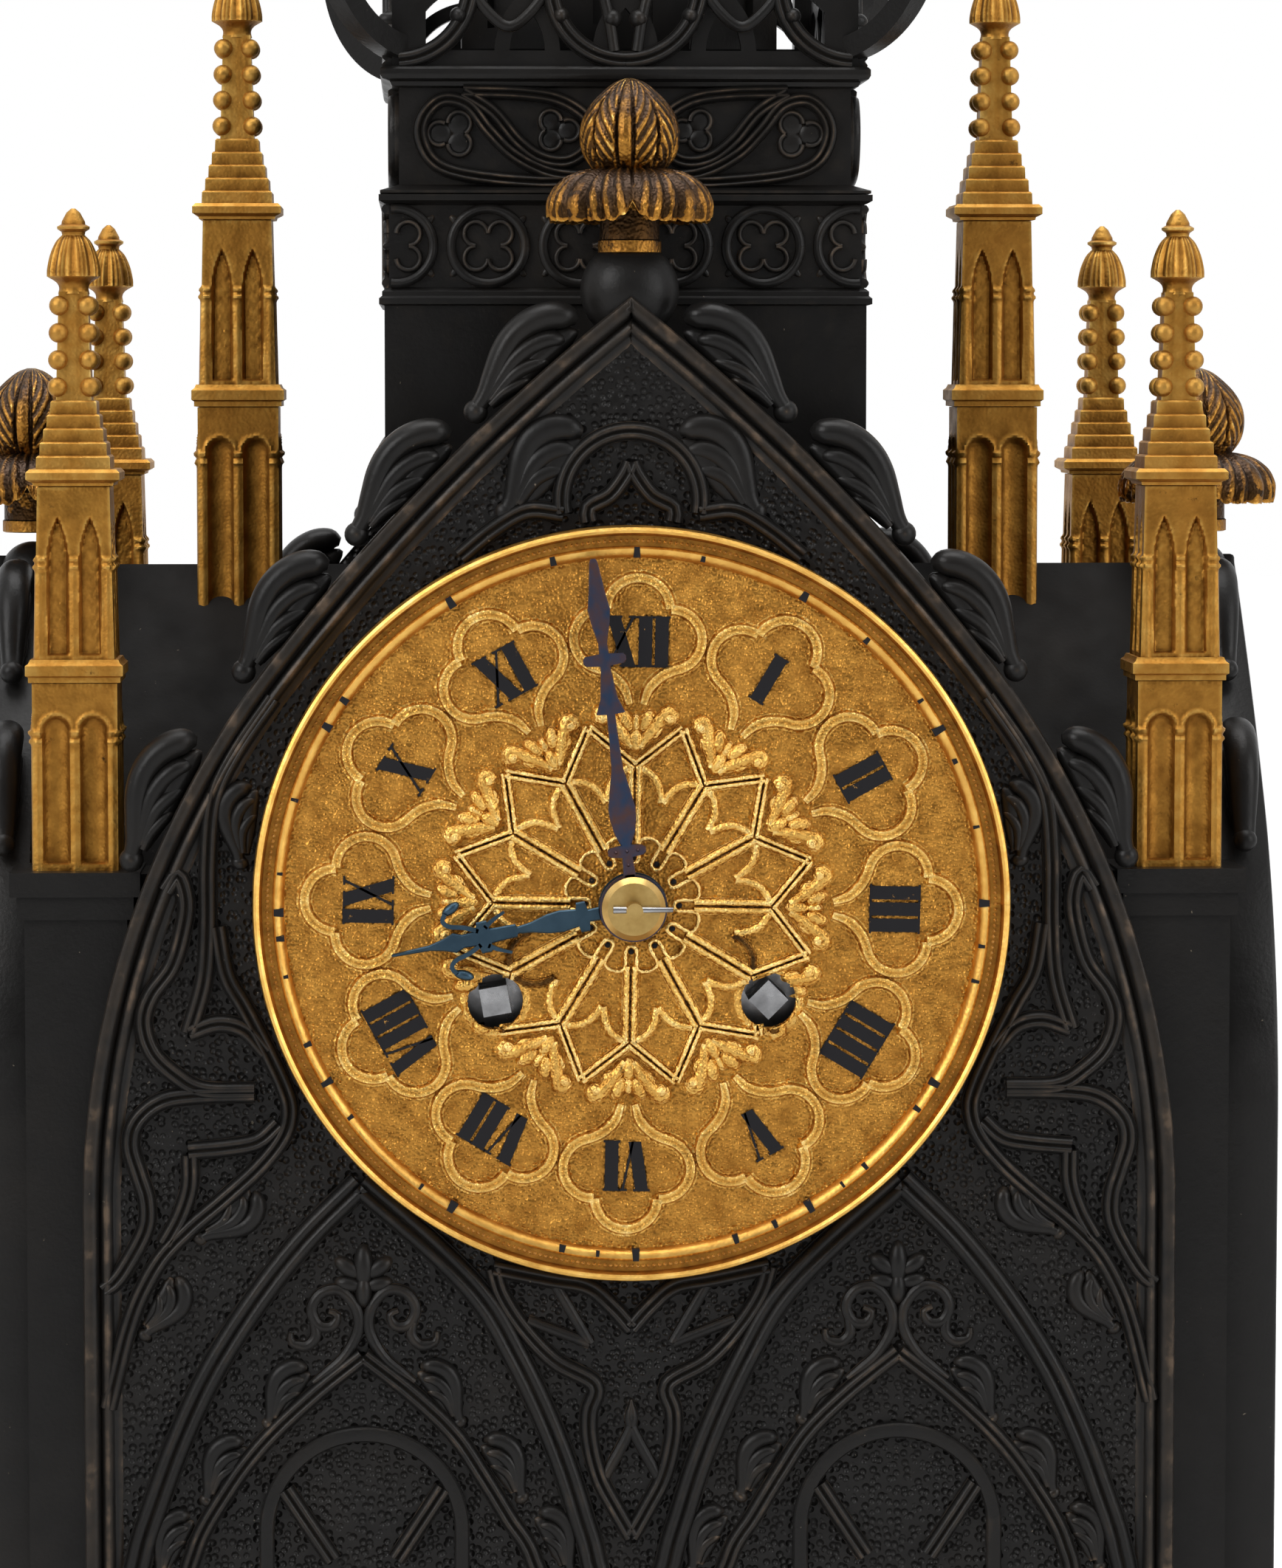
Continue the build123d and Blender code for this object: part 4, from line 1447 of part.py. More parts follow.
nodes.update({
    "plinth_feet": feet,
    "base_plinth": plinth,
    "front_facade": facade,
    "rear_facade": rear_wall,
    "left_side_wall": left_wall,
    "right_side_wall": right_wall,
    "corner_pilasters": pilasters,
    "cross_roof": roof_sheets,
    "gable_crockets": gable_crockets,
    "side_crockets": side_crockets,
    "front_gable_finial": front_finial,
    "outer_gable_finials": outer_finials,
    "tower_shaft": shaft_panels,
    "tower_scroll_frieze": frieze_panels,
    "tower_gallery": gallery_panels,
    "tower_horns": horns,
    "spire": spire,
    "spire_finial": Pos(0, 0, spire_top_z + BALL_RISE) * bud_finial,
    "dial_plate": dial,
    "dial_bezel": bezel,
    "hour_hand": hour_hand,
    "minute_hand": minute_hand,
    "hand_collet": collet,
    "hand_pin": taper_pin,
    "movement_front_plate": front_plate,
    "movement_back_plate": back_plate,
    "plate_pillars": pillars,
    "going_barrel": going_barrel,
    "going_mainspring": going_mainspring,
    "going_winding_arbor": going_winding,
    "strike_barrel": strike_barrel,
    "strike_mainspring": strike_mainspring,
    "strike_winding_arbor": strike_winding,
    "intermediate_wheel": intermediate_wheel,
    "centre_wheel": centre_wheel,
    "third_wheel": third_wheel,
    "escape_wheel": escape_wheel,
    "pallet_anchor": anchor,
    "cannon_pinion": cannon,
    "minute_wheel": minute_wheel,
    "hour_wheel": hour_wheel,
    "suspension_cock": cock,
    "pendulum_rod": pendulum_rod,
    "pendulum_bob": bob,
    "rating_nut": nut,
    "strike_pin_wheel": pin_wheel,
    "strike_fly": fly,
    "strike_hammer": hammer,
    "bell": bell,
    "bell_stand": stand,
    "movement_straps": straps,
    "strap_screws": screws,
    "back_bezel": back_bezel,
    "back_door": door})

for name, shape in nodes.items():
    if isinstance(shape, list):
        solids = [solid for item in shape for solid in item.solids()]
    else:
        solids = list(shape.solids())
    export_step(Compound(solids) if len(solids) > 1 else solids[0], "parts/" + name + ".step")
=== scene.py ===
"""Looks of a gothic-revival mantel clock: dark patinated bronze case, gilt dial, pinnacles and finials."""

import json
import math

import bmesh
import bpy
import numpy as np
from mathutils import Euler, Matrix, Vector


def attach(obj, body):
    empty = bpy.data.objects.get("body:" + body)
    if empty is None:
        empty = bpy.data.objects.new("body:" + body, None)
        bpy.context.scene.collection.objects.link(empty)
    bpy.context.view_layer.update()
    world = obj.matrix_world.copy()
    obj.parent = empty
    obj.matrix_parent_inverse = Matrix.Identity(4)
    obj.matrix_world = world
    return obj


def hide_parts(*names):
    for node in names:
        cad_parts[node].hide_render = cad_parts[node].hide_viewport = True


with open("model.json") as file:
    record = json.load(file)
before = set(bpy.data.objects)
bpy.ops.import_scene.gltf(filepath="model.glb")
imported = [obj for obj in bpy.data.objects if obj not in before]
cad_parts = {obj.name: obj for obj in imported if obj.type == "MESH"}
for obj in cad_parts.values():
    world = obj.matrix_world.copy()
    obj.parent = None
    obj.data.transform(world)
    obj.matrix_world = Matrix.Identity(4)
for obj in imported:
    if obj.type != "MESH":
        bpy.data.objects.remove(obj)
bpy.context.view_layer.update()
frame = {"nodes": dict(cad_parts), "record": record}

MM = 0.001
TURN = 2 * math.pi
rng = np.random.default_rng(7)

# Case sizes in millimetres, in the frame of the solids
DIAL_Z = 186.0
FIELD_Y = -55.0
FRONT_THICK = 4.0
SIDE_FIELD_X = 94.5
SIDE_THICK = 6.0
PLINTH_TOP_Z = 38.0
DIAL_Y = -58.6
WINDING_X = 19.9
WINDING_Z = -14.1
WINDING_HOLE = 4.1


# Mesh parts: (vertices, quads, triangles) in millimetres
def join(parts):
    verts, quads, tris, count = [], [], [], 0
    for v, q, t in parts:
        verts.append(v)
        quads.append(q + count)
        tris.append(t + count)
        count += len(v)
    return np.vstack(verts), np.vstack(quads), np.vstack(tris)


def made(verts, quads, tris=()):
    quads = np.asarray(quads, int).reshape(-1, 4)
    return np.asarray(verts, float), quads, np.asarray(tris, int).reshape(-1, 3)


def moved(shape, verts):
    return verts, shape[1], shape[2]


def turned(shape, degrees):
    """Turn about the upright axis."""
    a = math.radians(degrees)
    spin = np.array([[math.cos(a), -math.sin(a), 0], [math.sin(a), math.cos(a), 0], [0, 0, 1]])
    return moved(shape, shape[0] @ spin.T)


def spun(shape, degrees):
    """Turn a flat relief (across, up, out) clockwise on its wall."""
    return turned(shape, -degrees)


def shifted(shape, x, y, z):
    return moved(shape, shape[0] + np.array([x, y, z]))


def mirrored(shape, about=0.0):
    v, q, t = shape
    v = v.copy()
    v[:, 0] = 2 * about - v[:, 0]
    return v, q[:, ::-1], t[:, ::-1]


def each(move, shapes, *place):
    return [move(s, *place) for s in shapes]


def both_sides(shapes):
    return shapes + each(mirrored, shapes)


def on_front(shape, y, z=0.0):
    """Stand a flat relief (across, up, out) on a wall that faces -Y."""
    v = shape[0]
    return moved(shape, np.column_stack([v[:, 0], y - v[:, 2], v[:, 1] + z]))


def grid_quads(rows, cols, wrap=False):
    i = np.arange(rows - 1)[:, None]
    j = np.arange(cols if wrap else cols - 1)[None, :]
    a = i * cols + j
    b = i * cols + (j + 1) % cols
    return np.stack([a, b, b + cols, a + cols], -1).reshape(-1, 4)


def fan(ring):
    ring = list(ring)
    return [(ring[0], ring[k], ring[k + 1]) for k in range(1, len(ring) - 1)]


def tube(rings, flipped=False):
    """Closed solid through rings of equally many points, with a fan over either end."""
    rings = np.asarray(rings)
    n, m = rings.shape[:2]
    first, last = range(m), range((n - 1) * m, n * m)
    caps = fan(first) + fan(reversed(last)) if flipped else fan(reversed(first)) + fan(last)
    return made(rings.reshape(-1, 3), grid_quads(n, m, wrap=True), caps)


# Lines in a plane
def unit(vectors):
    return vectors / np.maximum(np.linalg.norm(vectors, axis=-1, keepdims=True), 1e-9)


def left_of(line):
    """Unit vectors to the left of a line, at each of its points."""
    along = unit(np.gradient(line, axis=0))
    return np.column_stack([-along[:, 1], along[:, 0]])


def travelled(line):
    """Way along a line to each of its points."""
    return np.concatenate([[0], np.cumsum(np.linalg.norm(np.diff(line, axis=0), axis=1))])


def smooth_line(points, step=0.8):
    """Catmull-Rom line through points, with samples about a step apart."""
    p = np.asarray(points, float)
    ends = np.vstack([2 * p[0] - p[1], p, 2 * p[-1] - p[-2]])
    out = []
    for k in range(len(p) - 1):
        p0, p1, p2, p3 = ends[k:k + 4]
        n = max(2, int(np.linalg.norm(p2 - p1) / step))
        t = np.linspace(0, 1, n, endpoint=False)[:, None]
        bend = (2 * p0 - 5 * p1 + 4 * p2 - p3) * t ** 2 + (3 * p1 - p0 - 3 * p2 + p3) * t ** 3
        out.append(0.5 * (2 * p1 + (p2 - p0) * t + bend))
    return np.vstack(out + [p[-1:]])


def arc_line(centre, radius, start, end, step=0.8):
    """Arc by compass: degrees counter-clockwise from the right."""
    n = max(6, int(abs(math.radians(end - start)) * radius / step))
    a = np.radians(np.linspace(start, end, n))
    return np.column_stack([centre[0] + radius * np.cos(a), centre[1] + radius * np.sin(a)])


def tangent_arc(start, tangent, end, step=1.0):
    """Arc that leaves its start along a tangent and reaches its end, and its direction there."""
    p, q = np.asarray(start, float), np.asarray(end, float)
    t = np.asarray(tangent, float) / np.linalg.norm(tangent)
    side = np.array([-t[1], t[0]])
    chord = q - p
    reach = chord @ chord / (2 * (side @ chord))
    centre = p + side * reach
    a0 = math.atan2(*(p - centre)[::-1])
    a1 = math.atan2(*(q - centre)[::-1])
    a1 = a0 + ((a1 - a0) % TURN if reach > 0 else -((a0 - a1) % TURN))
    a = np.linspace(a0, a1, max(4, int(abs(a1 - a0) * abs(reach) / step)))
    line = centre + abs(reach) * np.column_stack([np.cos(a), np.sin(a)])
    sign = 1 if reach > 0 else -1
    return line, sign * np.array([-math.sin(a1), math.cos(a1)])


def gable_edge(half, foot, spring, shoulder, apex):
    """Left edge of a gabled wall, from its foot to its apex."""
    low, lean = tangent_arc((-half, spring), (0, 1), (-shoulder[0], shoulder[1]))
    high, _ = tangent_arc(low[-1], lean, (0, apex))
    leg = np.column_stack([np.full(60, -half), np.linspace(foot, spring, 60, endpoint=False)])
    return np.vstack([leg, low, high[1:]])


def pointed(cx, half, foot, spring, apex):
    """Pointed arch on straight legs, as two lines that meet at the apex."""
    out = []
    for side in (-1, 1):
        bow, _ = tangent_arc((cx + side * half, spring), (0, 1), (cx, apex))
        out.append(np.vstack([[(cx + side * half, foot)], bow]))
    return out


# Relief: sections are (offset across, height) pairs, and start and end below the ground
def beads(count, width, height, sink=0.5, valley=0.66):
    """Side-by-side rolls with shallow grooves between low fillets."""
    half, core = width / 2, 0.42 * width
    share = np.linspace(0, 1, 7 * count + 1)
    swell = [valley + (1 - valley) * abs(math.sin(math.pi * count * s)) for s in share]
    rolls = [(core * (2 * s - 1), height * w) for s, w in zip(share, swell)]
    foot = [(half, 0.30 * height), (core + 0.06 * width, 0.40 * height), (core + 0.01 * width, 0.38 * height)]
    left = [(-a, h) for a, h in foot]
    return [(-half, -sink)] + left + rolls + foot[::-1] + [(half, -sink)]


DOUBLE_RIB = beads(2, 2.8, 1.5)
TRIPLE_RIB = beads(2, 4.2, 1.9)
SINGLE_RIB = beads(1, 1.7, 1.2)
FLAT_BAND = [(-1.1, -0.5), (-1.1, 0.95), (-0.85, 1.25), (-0.3, 1.3), (0.3, 1.3), (0.85, 1.25), (1.1, 0.95),
             (1.1, -0.5)]


def sweep(line, section, taper=(1.0, 1.0), run=3.0):
    """Closed rib along a line; it narrows to the taper shares over a run at its ends."""
    line, s = np.asarray(line, float), np.asarray(section, float)
    far = travelled(line)
    size = np.minimum(1, taper[0] + (1 - taper[0]) * far / run)
    size = np.minimum(size, taper[1] + (1 - taper[1]) * (far[-1] - far) / run)
    spot = line[:, None, :] + left_of(line)[:, None, :] * (s[None, :, :1] * size[:, None, None])
    tall = np.where(s[:, 1] > 0, s[None, :, 1] * (0.4 + 0.6 * size[:, None]), s[None, :, 1])
    return tube(np.concatenate([spot, tall[:, :, None]], axis=2), flipped=True)


def rib(points, section, step=0.8, taper=(1.0, 1.0)):
    return sweep(smooth_line(points, step), section, taper)


def blob(u, v, long, wide, height, turn=0.0, sink=0.3, around=16, up=6):
    """Rounded boss of elliptic plan, a little flat on top."""
    a = np.linspace(0, TURN, around, endpoint=False)
    e = np.linspace(0, 0.94 * TURN / 4, up)
    share = np.concatenate([[1], np.cos(e)])[:, None]
    lift = np.concatenate([[-sink], height * np.sin(e)])[:, None]
    x, y = long * share * np.cos(a), wide * share * np.sin(a)
    c, s = math.cos(math.radians(turn)), math.sin(math.radians(turn))
    return tube(np.stack([u + x * c - y * s, v + x * s + y * c, np.broadcast_to(lift, x.shape)], -1))


def slab(front, back, quads):
    """Closed solid between two sheets that share their quads."""
    n = len(front)
    edges = np.concatenate([quads[:, [k, (k + 1) % 4]] for k in range(4)])
    _, first, count = np.unique(np.sort(edges, axis=1), axis=0, return_index=True, return_counts=True)
    rim = edges[first[count == 1]]
    walls = np.column_stack([rim[:, 1], rim[:, 0], rim[:, 0] + n, rim[:, 1] + n])
    verts, faces = np.vstack([front, back]), np.vstack([quads, quads[:, ::-1] + n, walls])
    used, faces = np.unique(faces, return_inverse=True)
    return made(verts[used], faces.reshape(-1, 4))


def plate(corners, low, high):
    c = np.asarray(corners, float)
    verts = np.vstack([np.column_stack([c, np.full(4, level)]) for level in (low, high)])
    sides = [(k, (k + 1) % 4, (k + 1) % 4 + 4, k + 4) for k in range(4)]
    return made(verts, [(3, 2, 1, 0), (4, 5, 6, 7)] + sides)


# Solids of revolution and stacked squares
def lathe(profile, around=64, shape=None):
    """Turned solid; shape(angle, height) scales the radius."""
    p = np.asarray(profile, float)
    a = np.linspace(0, TURN, around, endpoint=False)
    grow = np.ones((len(p), around)) if shape is None else shape(a[None, :], p[:, 1:])
    r = np.maximum(p[:, :1], 0.02) * grow
    return tube(np.stack([r * np.cos(a), r * np.sin(a), np.broadcast_to(p[:, 1:], r.shape)], -1))


def dense(profile, near=0.3):
    """Add points close to both ends of every stretch, so that edges stay crisp."""
    out = []
    for (a, b), (c, d) in zip(profile[:-1], profile[1:]):
        length = math.hypot(c - a, d - b)
        shares = [0, near / length, 1 - near / length] if length > 2.5 * near else [0]
        out += [(a + (c - a) * s, b + (d - b) * s) for s in shares]
    return out + [profile[-1]]


def square_stack(profile, half, step):
    """Square mouldings: the profile gives (reach beyond the half size, height)."""
    n = max(4, int(2 * (half + max(r for r, _ in profile)) / step))
    t = np.linspace(-1, 1, n, endpoint=False)
    t[1] = -1 + 0.5 / n
    t = np.append(t, 1 - 0.5 / n)
    rings = []
    for reach, z in dense(profile):
        x = half + reach
        run, side = t * x, np.full(n + 1, x)
        corners = ((run, -side), (side, run), (-run, side), (-side, -run))
        rings.append(np.vstack([np.column_stack([u, v, np.full(n + 1, z)]) for u, v in corners]))
    return tube(rings)


def ball(x, y, z, radius, around=20, up=12):
    e = np.linspace(-math.pi / 2, math.pi / 2, up)
    return shifted(lathe(radius * np.column_stack([np.cos(e), np.sin(e)]), around), x, y, z)


# Materials
class Shading:
    """Node tree of a material or of the world, with short ways to add nodes."""

    def __init__(self, owner, coordinates="Object"):
        owner.use_nodes = True
        self.nodes, self.links = owner.node_tree.nodes, owner.node_tree.links
        self.where = self.node("TexCoord").outputs[coordinates]

    def feed(self, socket, value):
        """Link a socket to another one, or set its number or colour."""
        if isinstance(value, bpy.types.NodeSocket):
            self.links.new(value, socket)
        else:
            socket.default_value = (*value, 1) if isinstance(value, tuple) else value

    def node(self, kind, inputs=None, **settings):
        n = self.nodes.new("ShaderNode" + kind)
        for name, value in settings.items():
            setattr(n, name, value)
        for name, value in (inputs or {}).items():
            self.feed(n.inputs[name], value)
        return n

    def shade(self, inputs):
        for name, value in inputs.items():
            self.feed(self.nodes["Principled BSDF"].inputs[name], value)

    def noise(self, scale, detail=4.0, rough=0.55):
        inputs = {"Vector": self.where, "Scale": scale, "Detail": detail, "Roughness": rough}
        return self.node("TexNoise", inputs).outputs["Fac"]

    def cells(self, scale, feature, spread=1.0):
        inputs = {"Vector": self.where, "Scale": scale, "Randomness": spread}
        return self.node("TexVoronoi", inputs, feature=feature).outputs["Distance"]

    def remap(self, value, low, high, to_low=0.0, to_high=1.0):
        inputs = {"Value": value, "From Min": low, "From Max": high, "To Min": to_low, "To Max": to_high}
        return self.node("MapRange", inputs).outputs["Result"]

    def combine(self, operation, first, second):
        return self.node("Math", {0: first, 1: second}, operation=operation).outputs["Value"]

    def mix(self, share, first, second):
        inputs = {"Factor": share, "A": first, "B": second}
        return self.node("Mix", inputs, data_type="RGBA").outputs["Result"]

    def ramp(self, value, stops):
        n = self.node("ValToRGB", {"Fac": value})
        stop = n.color_ramp.elements
        while len(stop) < len(stops):
            stop.new(0.5)
        for k, (place, colour) in enumerate(stops):
            stop[k].position = place
            stop[k].color = (*colour, 1)
        return n.outputs["Color"]

    def bump(self, layers):
        """Stack bump layers of (height, distance in metres, strength)."""
        below = {}
        for height, distance, strength in layers:
            inputs = {"Height": height, "Distance": distance, "Strength": strength}
            below["Normal"] = self.node("Bump", {**inputs, **below}).outputs["Normal"]
        return below["Normal"]

    def wear_and_shading(self, scale, spread):
        """Level of the edges from the curvature kept on each vertex, broken up by noise: about 0.5 on plain
        ground; patina shows it as wear, gilt as painted shade in the hollows and painted highlight on the
        ridges.
        """
        kept = self.node("Attribute", attribute_name="wear_and_shading").outputs["Fac"]
        level = self.combine("ADD", self.combine("MULTIPLY", kept, 0.5), 0.5)
        return self.combine("ADD", level, self.remap(self.noise(scale), 0.3, 0.7, -spread, spread))


def new_material(name):
    mat = bpy.data.materials.new(name)
    return mat, Shading(mat)


DUST = (0.019, 0.0155, 0.0125)
BARE_BRONZE = (0.12, 0.10, 0.075)
BARE_GILT = (0.55, 0.28, 0.06)
TARNISH = (0.34, 0.145, 0.026)
SOOT = (0.050, 0.033, 0.024)
OXIDE = (0.035, 0.018, 0.008)
PAINT = (0.010, 0.0095, 0.011)


def patina(name, pitting=0.0, sheen=0.21, matte=0.0, rubbed=0.0):
    """Near-black patina on cast bronze, rubbed brown along the edges, with dust in the hollows."""
    mat, t = new_material(name)
    tone = t.ramp(t.wear_and_shading(260, 0.12), [
        (0.05, (0.018, 0.0145, 0.011)), (0.38, (0.0068, 0.0062, 0.0058)),
        (0.72 - rubbed, (0.0088, 0.0083, 0.0079)), (0.90 - rubbed, (0.024, 0.0185, 0.0140)),
        (1.0 - rubbed, (0.085, 0.058, 0.038))])
    cloud = t.remap(t.noise(55, 6.0), 0.45, 0.8)
    tone = t.mix(t.combine("MULTIPLY", cloud, 0.4), tone, DUST)
    chips = t.remap(t.noise(900, 4.0, 0.6), 0.735, 0.75)
    layers = [(t.noise(1500, 3.0), 0.00012, 0.35)]
    if pitting:
        dents = t.remap(t.cells(830, "F1", 0.78), 0.0, 0.5)
        layers.append((t.combine("POWER", dents, 1.5), 0.0005, pitting))
    t.shade({
        "Base Color": t.mix(chips, tone, BARE_BRONZE), "Metallic": 0.2, "Specular IOR Level": sheen,
        "Roughness": t.remap(t.noise(120, 5.0), 0.3, 0.7, 0.28 + matte, 0.46 + matte),
        "Normal": t.bump(layers)})
    return mat


def gilt(name, stipple, bright=1.0, spots=1.0, stipple_scale=2100, hollow_shade=0.0, matte=0.0, soot=0.0):
    """Fire-gilt bronze with painted shade that darkens the hollows and a painted highlight that brightens the
    ridges, with specks of oxide.
    """
    def dimmed(*colour):
        return tuple(bright * c for c in colour)

    mat, t = new_material(name)
    level = t.wear_and_shading(420, 0.10)
    # Painted shade and painted highlight: the colour runs from dark brown in the hollows to pale gold on the
    # ridges, and the dark can be spread further up the ramp.
    tone = t.ramp(level, [
        (0.08 + 2.2 * hollow_shade, (0.045, 0.023, 0.009)), (0.36 + hollow_shade, dimmed(0.30, 0.130, 0.022)),
        (0.56 + hollow_shade, dimmed(0.56, 0.272, 0.050)), (0.80, dimmed(0.80, 0.48, 0.12)),
        (1.0, (0.95, 0.70, 0.27))])
    cloud = t.remap(t.noise(70, 5.0), 0.45, 0.8)
    tone = t.mix(t.combine("MULTIPLY", cloud, 0.45), tone, TARNISH)
    facing = t.node("SeparateXYZ", {"Vector": t.node("NewGeometry").outputs["Normal"]}).outputs["Z"]
    settled = t.remap(facing, -0.1, 0.7, 0.0, soot)
    settled = t.combine("MULTIPLY", settled, t.remap(level, 0.95, 0.6))
    tone = t.mix(settled, tone, SOOT)
    specks = t.remap(t.noise(380, 6.0, 0.7), 0.70 - 0.03 * spots, 0.76)
    gloss = t.remap(t.noise(300, 5.0), 0.3, 0.7, 0.33 + matte, 0.50 + matte)
    dots = t.remap(t.cells(stipple_scale, "SMOOTH_F1"), 0.0, 0.7)
    t.shade({
        "Base Color": t.mix(specks, tone, OXIDE), "Metallic": 1.0,
        "Roughness": t.combine("ADD", gloss, t.combine("MULTIPLY", specks, 0.3)),
        "Normal": t.bump([(dots, 0.00022, stipple), (t.noise(900), 0.0002, 0.10)])})
    return mat


def metal(name, dark, pale, gloss, scale=240):
    """Plain turned or filed metal with faint clouds of tarnish."""
    mat, t = new_material(name)
    cloud = t.noise(scale, 6.0)
    t.shade({
        "Base Color": t.ramp(cloud, [(0.30, dark), (0.72, pale)]), "Metallic": 1.0,
        "Roughness": t.remap(cloud, 0.25, 0.75, gloss + 0.14, gloss),
        "Normal": t.bump([(t.noise(2600, 3.0), 0.00006, 0.12)])})
    return mat


def enamel(name):
    """Black numeral paint, chipped to the gilding in small specks."""
    mat, t = new_material(name)
    chips = t.remap(t.noise(800, 5.0, 0.7), 0.655, 0.70)
    chips = t.combine("MULTIPLY", chips, t.remap(t.noise(90, 2.0), 0.42, 0.6))
    t.shade({
        "Base Color": t.mix(chips, PAINT, BARE_GILT), "Roughness": 0.6, "Specular IOR Level": 0.15,
        "Normal": t.bump([(t.noise(1400), 0.0001, 0.3)])})
    return mat


PATINA = patina("patina")
HAMMERED = patina("hammered_patina", pitting=1.0)
SLATE = patina("roof_patina", sheen=0.07, matte=0.2)
WORN = patina("rubbed_patina", rubbed=0.21)
GILT = gilt("gilt", stipple=0.12)
DULL_GILT = gilt("dull_gilt", stipple=0.2, bright=0.66, spots=2.0, matte=0.10)
# Finials' gilt: painted shade spread wider in the hollows, and soot on up-facing surfaces.
SOOTY_SHADED_GILT = gilt("sooty_shaded_gilt", stipple=0.5, bright=0.85, spots=2.0, hollow_shade=0.22, soot=0.95)
STIPPLED = gilt("stippled_gilt", stipple=0.9, bright=0.9, stipple_scale=2300, hollow_shade=0.03)
BLUED = metal("blued_steel", (0.030, 0.055, 0.080), (0.055, 0.095, 0.130), 0.36)
TEMPERED = metal("tempered_steel", (0.105, 0.055, 0.045), (0.035, 0.065, 0.125), 0.34, 420)
BRASS = metal("movement_brass", (0.42, 0.26, 0.075), (0.72, 0.50, 0.19), 0.24)
STEEL = metal("bright_steel", (0.20, 0.20, 0.205), (0.52, 0.52, 0.53), 0.22)
BELL = metal("bell_metal", (0.40, 0.36, 0.27), (0.62, 0.57, 0.46), 0.20)
ENAMEL = enamel("numeral_enamel")
SLOT_MATERIAL = {
    "patina_bronze": PATINA, "gilt_bronze": GILT, "blued_steel": BLUED,
    "movement_brass": BRASS, "bright_steel": STEEL, "bell_metal": BELL}
for row in frame["record"]["subparts"]:
    shown = frame["nodes"][row["node"]].data
    shown.materials.clear()
    shown.materials.append(SLATE if row["node"] == "cross_roof" else SLOT_MATERIAL[row["material_slot"]])


# Pieces
SHARP_ANGLE = 38
WELD = 0.004


def wear_and_shading_of(mesh, reach):
    """Curvature of each vertex, from -1 in a hollow to 1 on a ridge, over a reach in millimetres."""
    n = len(mesh.vertices)
    co = np.empty(n * 3)
    mesh.vertices.foreach_get("co", co)
    co = co.reshape(-1, 3) / MM
    normal = np.empty(n * 3)
    mesh.vertex_normals.foreach_get("vector", normal)
    normal = normal.reshape(-1, 3)
    edge = np.empty(len(mesh.edges) * 2, int)
    mesh.edges.foreach_get("vertices", edge)
    a, b = edge.reshape(-1, 2).T
    step = co[b] - co[a]
    long = np.maximum((step ** 2).sum(1), 1e-4)
    bend = ((normal[b] - normal[a]) * step).sum(1) / long
    count = np.maximum(np.bincount(a, minlength=n) + np.bincount(b, minlength=n), 1)
    level = (np.bincount(a, bend, n) + np.bincount(b, bend, n)) / count
    level = np.clip(level * reach, -2, 2)
    around = (np.bincount(a, level[b], n) + np.bincount(b, level[a], n)) / count
    return np.tanh((level + around) / 2)


def piece(name, shapes, material, nodes=(), body="case", reach=0.8):
    """Welded mesh of closed shapes, with its curvature kept for wear and for painted shading, that rides on a
    body and replaces CAD nodes.
    """
    verts, quads, tris = join(shapes)
    mesh = bpy.data.meshes.new(name)
    mesh.vertices.add(len(verts))
    mesh.vertices.foreach_set("co", (verts * MM).ravel())
    mesh.loops.add(quads.size + tris.size)
    mesh.loops.foreach_set("vertex_index", np.concatenate([quads.ravel(), tris.ravel()]))
    mesh.polygons.add(len(quads) + len(tris))
    starts = np.concatenate([np.arange(len(quads)) * 4, quads.size + np.arange(len(tris)) * 3])
    mesh.polygons.foreach_set("loop_start", starts)
    mesh.update(calc_edges=True)
    mesh.validate()
    work = bmesh.new()
    work.from_mesh(mesh)
    bmesh.ops.remove_doubles(work, verts=work.verts, dist=WELD * MM)
    bmesh.ops.recalc_face_normals(work, faces=work.faces)
    work.to_mesh(mesh)
    work.free()
    mesh.polygons.foreach_set("use_smooth", np.ones(len(mesh.polygons), bool))
    mesh.update()
    kept = mesh.attributes.new("wear_and_shading", "FLOAT", "POINT")
    # Curvature per vertex: read by the patina as wear, by the gilt as painted shade and painted highlight.
    kept.data.foreach_set("value", wear_and_shading_of(mesh, reach).astype(np.float32))
    mesh.set_sharp_from_angle(angle=math.radians(SHARP_ANGLE))
    mesh.materials.append(material)
    obj = bpy.data.objects.new(name, mesh)
    bpy.context.scene.collection.objects.link(obj)
    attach(obj, body)
    if nodes:
        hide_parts(*nodes)


# Leaves: strands that part from a knobbed tail, each as (along, out from the seat, half width)
LEAF_LENGTH = 20.0
LEAF_BREADTH = 1.25
LEAF_MIDDLE = 3.0
LEAF_STRANDS = (
    [(-19.6, 1.7, 1.2), (-17.2, 2.4, 1.4), (-14.2, 4, 1.65), (-11, 5.6, 1.9), (-8, 6.4, 2), (-5, 6.2, 2.1),
     (-2.4, 5.1, 2.1), (-0.7, 3.5, 1.8), (0, 2.2, 0.7)],
    [(-17.5, 1.8, 1), (-14, 2.8, 1.35), (-10.5, 3.7, 1.6), (-7.5, 3.6, 1.65), (-5, 2.7, 1.6),
     (-3.6, 1.4, 1.2), (-3.2, 0.6, 0.5)],
    [(-17, 1.3, 0.9), (-14, 1.9, 1.2), (-11.5, 2.1, 1.4), (-9.2, 1.5, 1.35), (-7.4, 0.6, 1), (-6.9, 0, 0.5)],
    [(-17.5, 0.9, 0.8), (-15, 1.1, 1.05), (-13, 0.8, 1.1), (-11.2, 0.2, 0.9), (-10.7, -0.3, 0.5)])
STRAND_DEPTH = (1.25, 1.5, 1.7, 1.9)
LEAF_CORE = [(-17, 0.6, 0.6), (-12, 1.2, 1.6), (-6, 1.8, 2), (-2, 1.2, 1.2), (-1.2, 0.6, 0.4)]
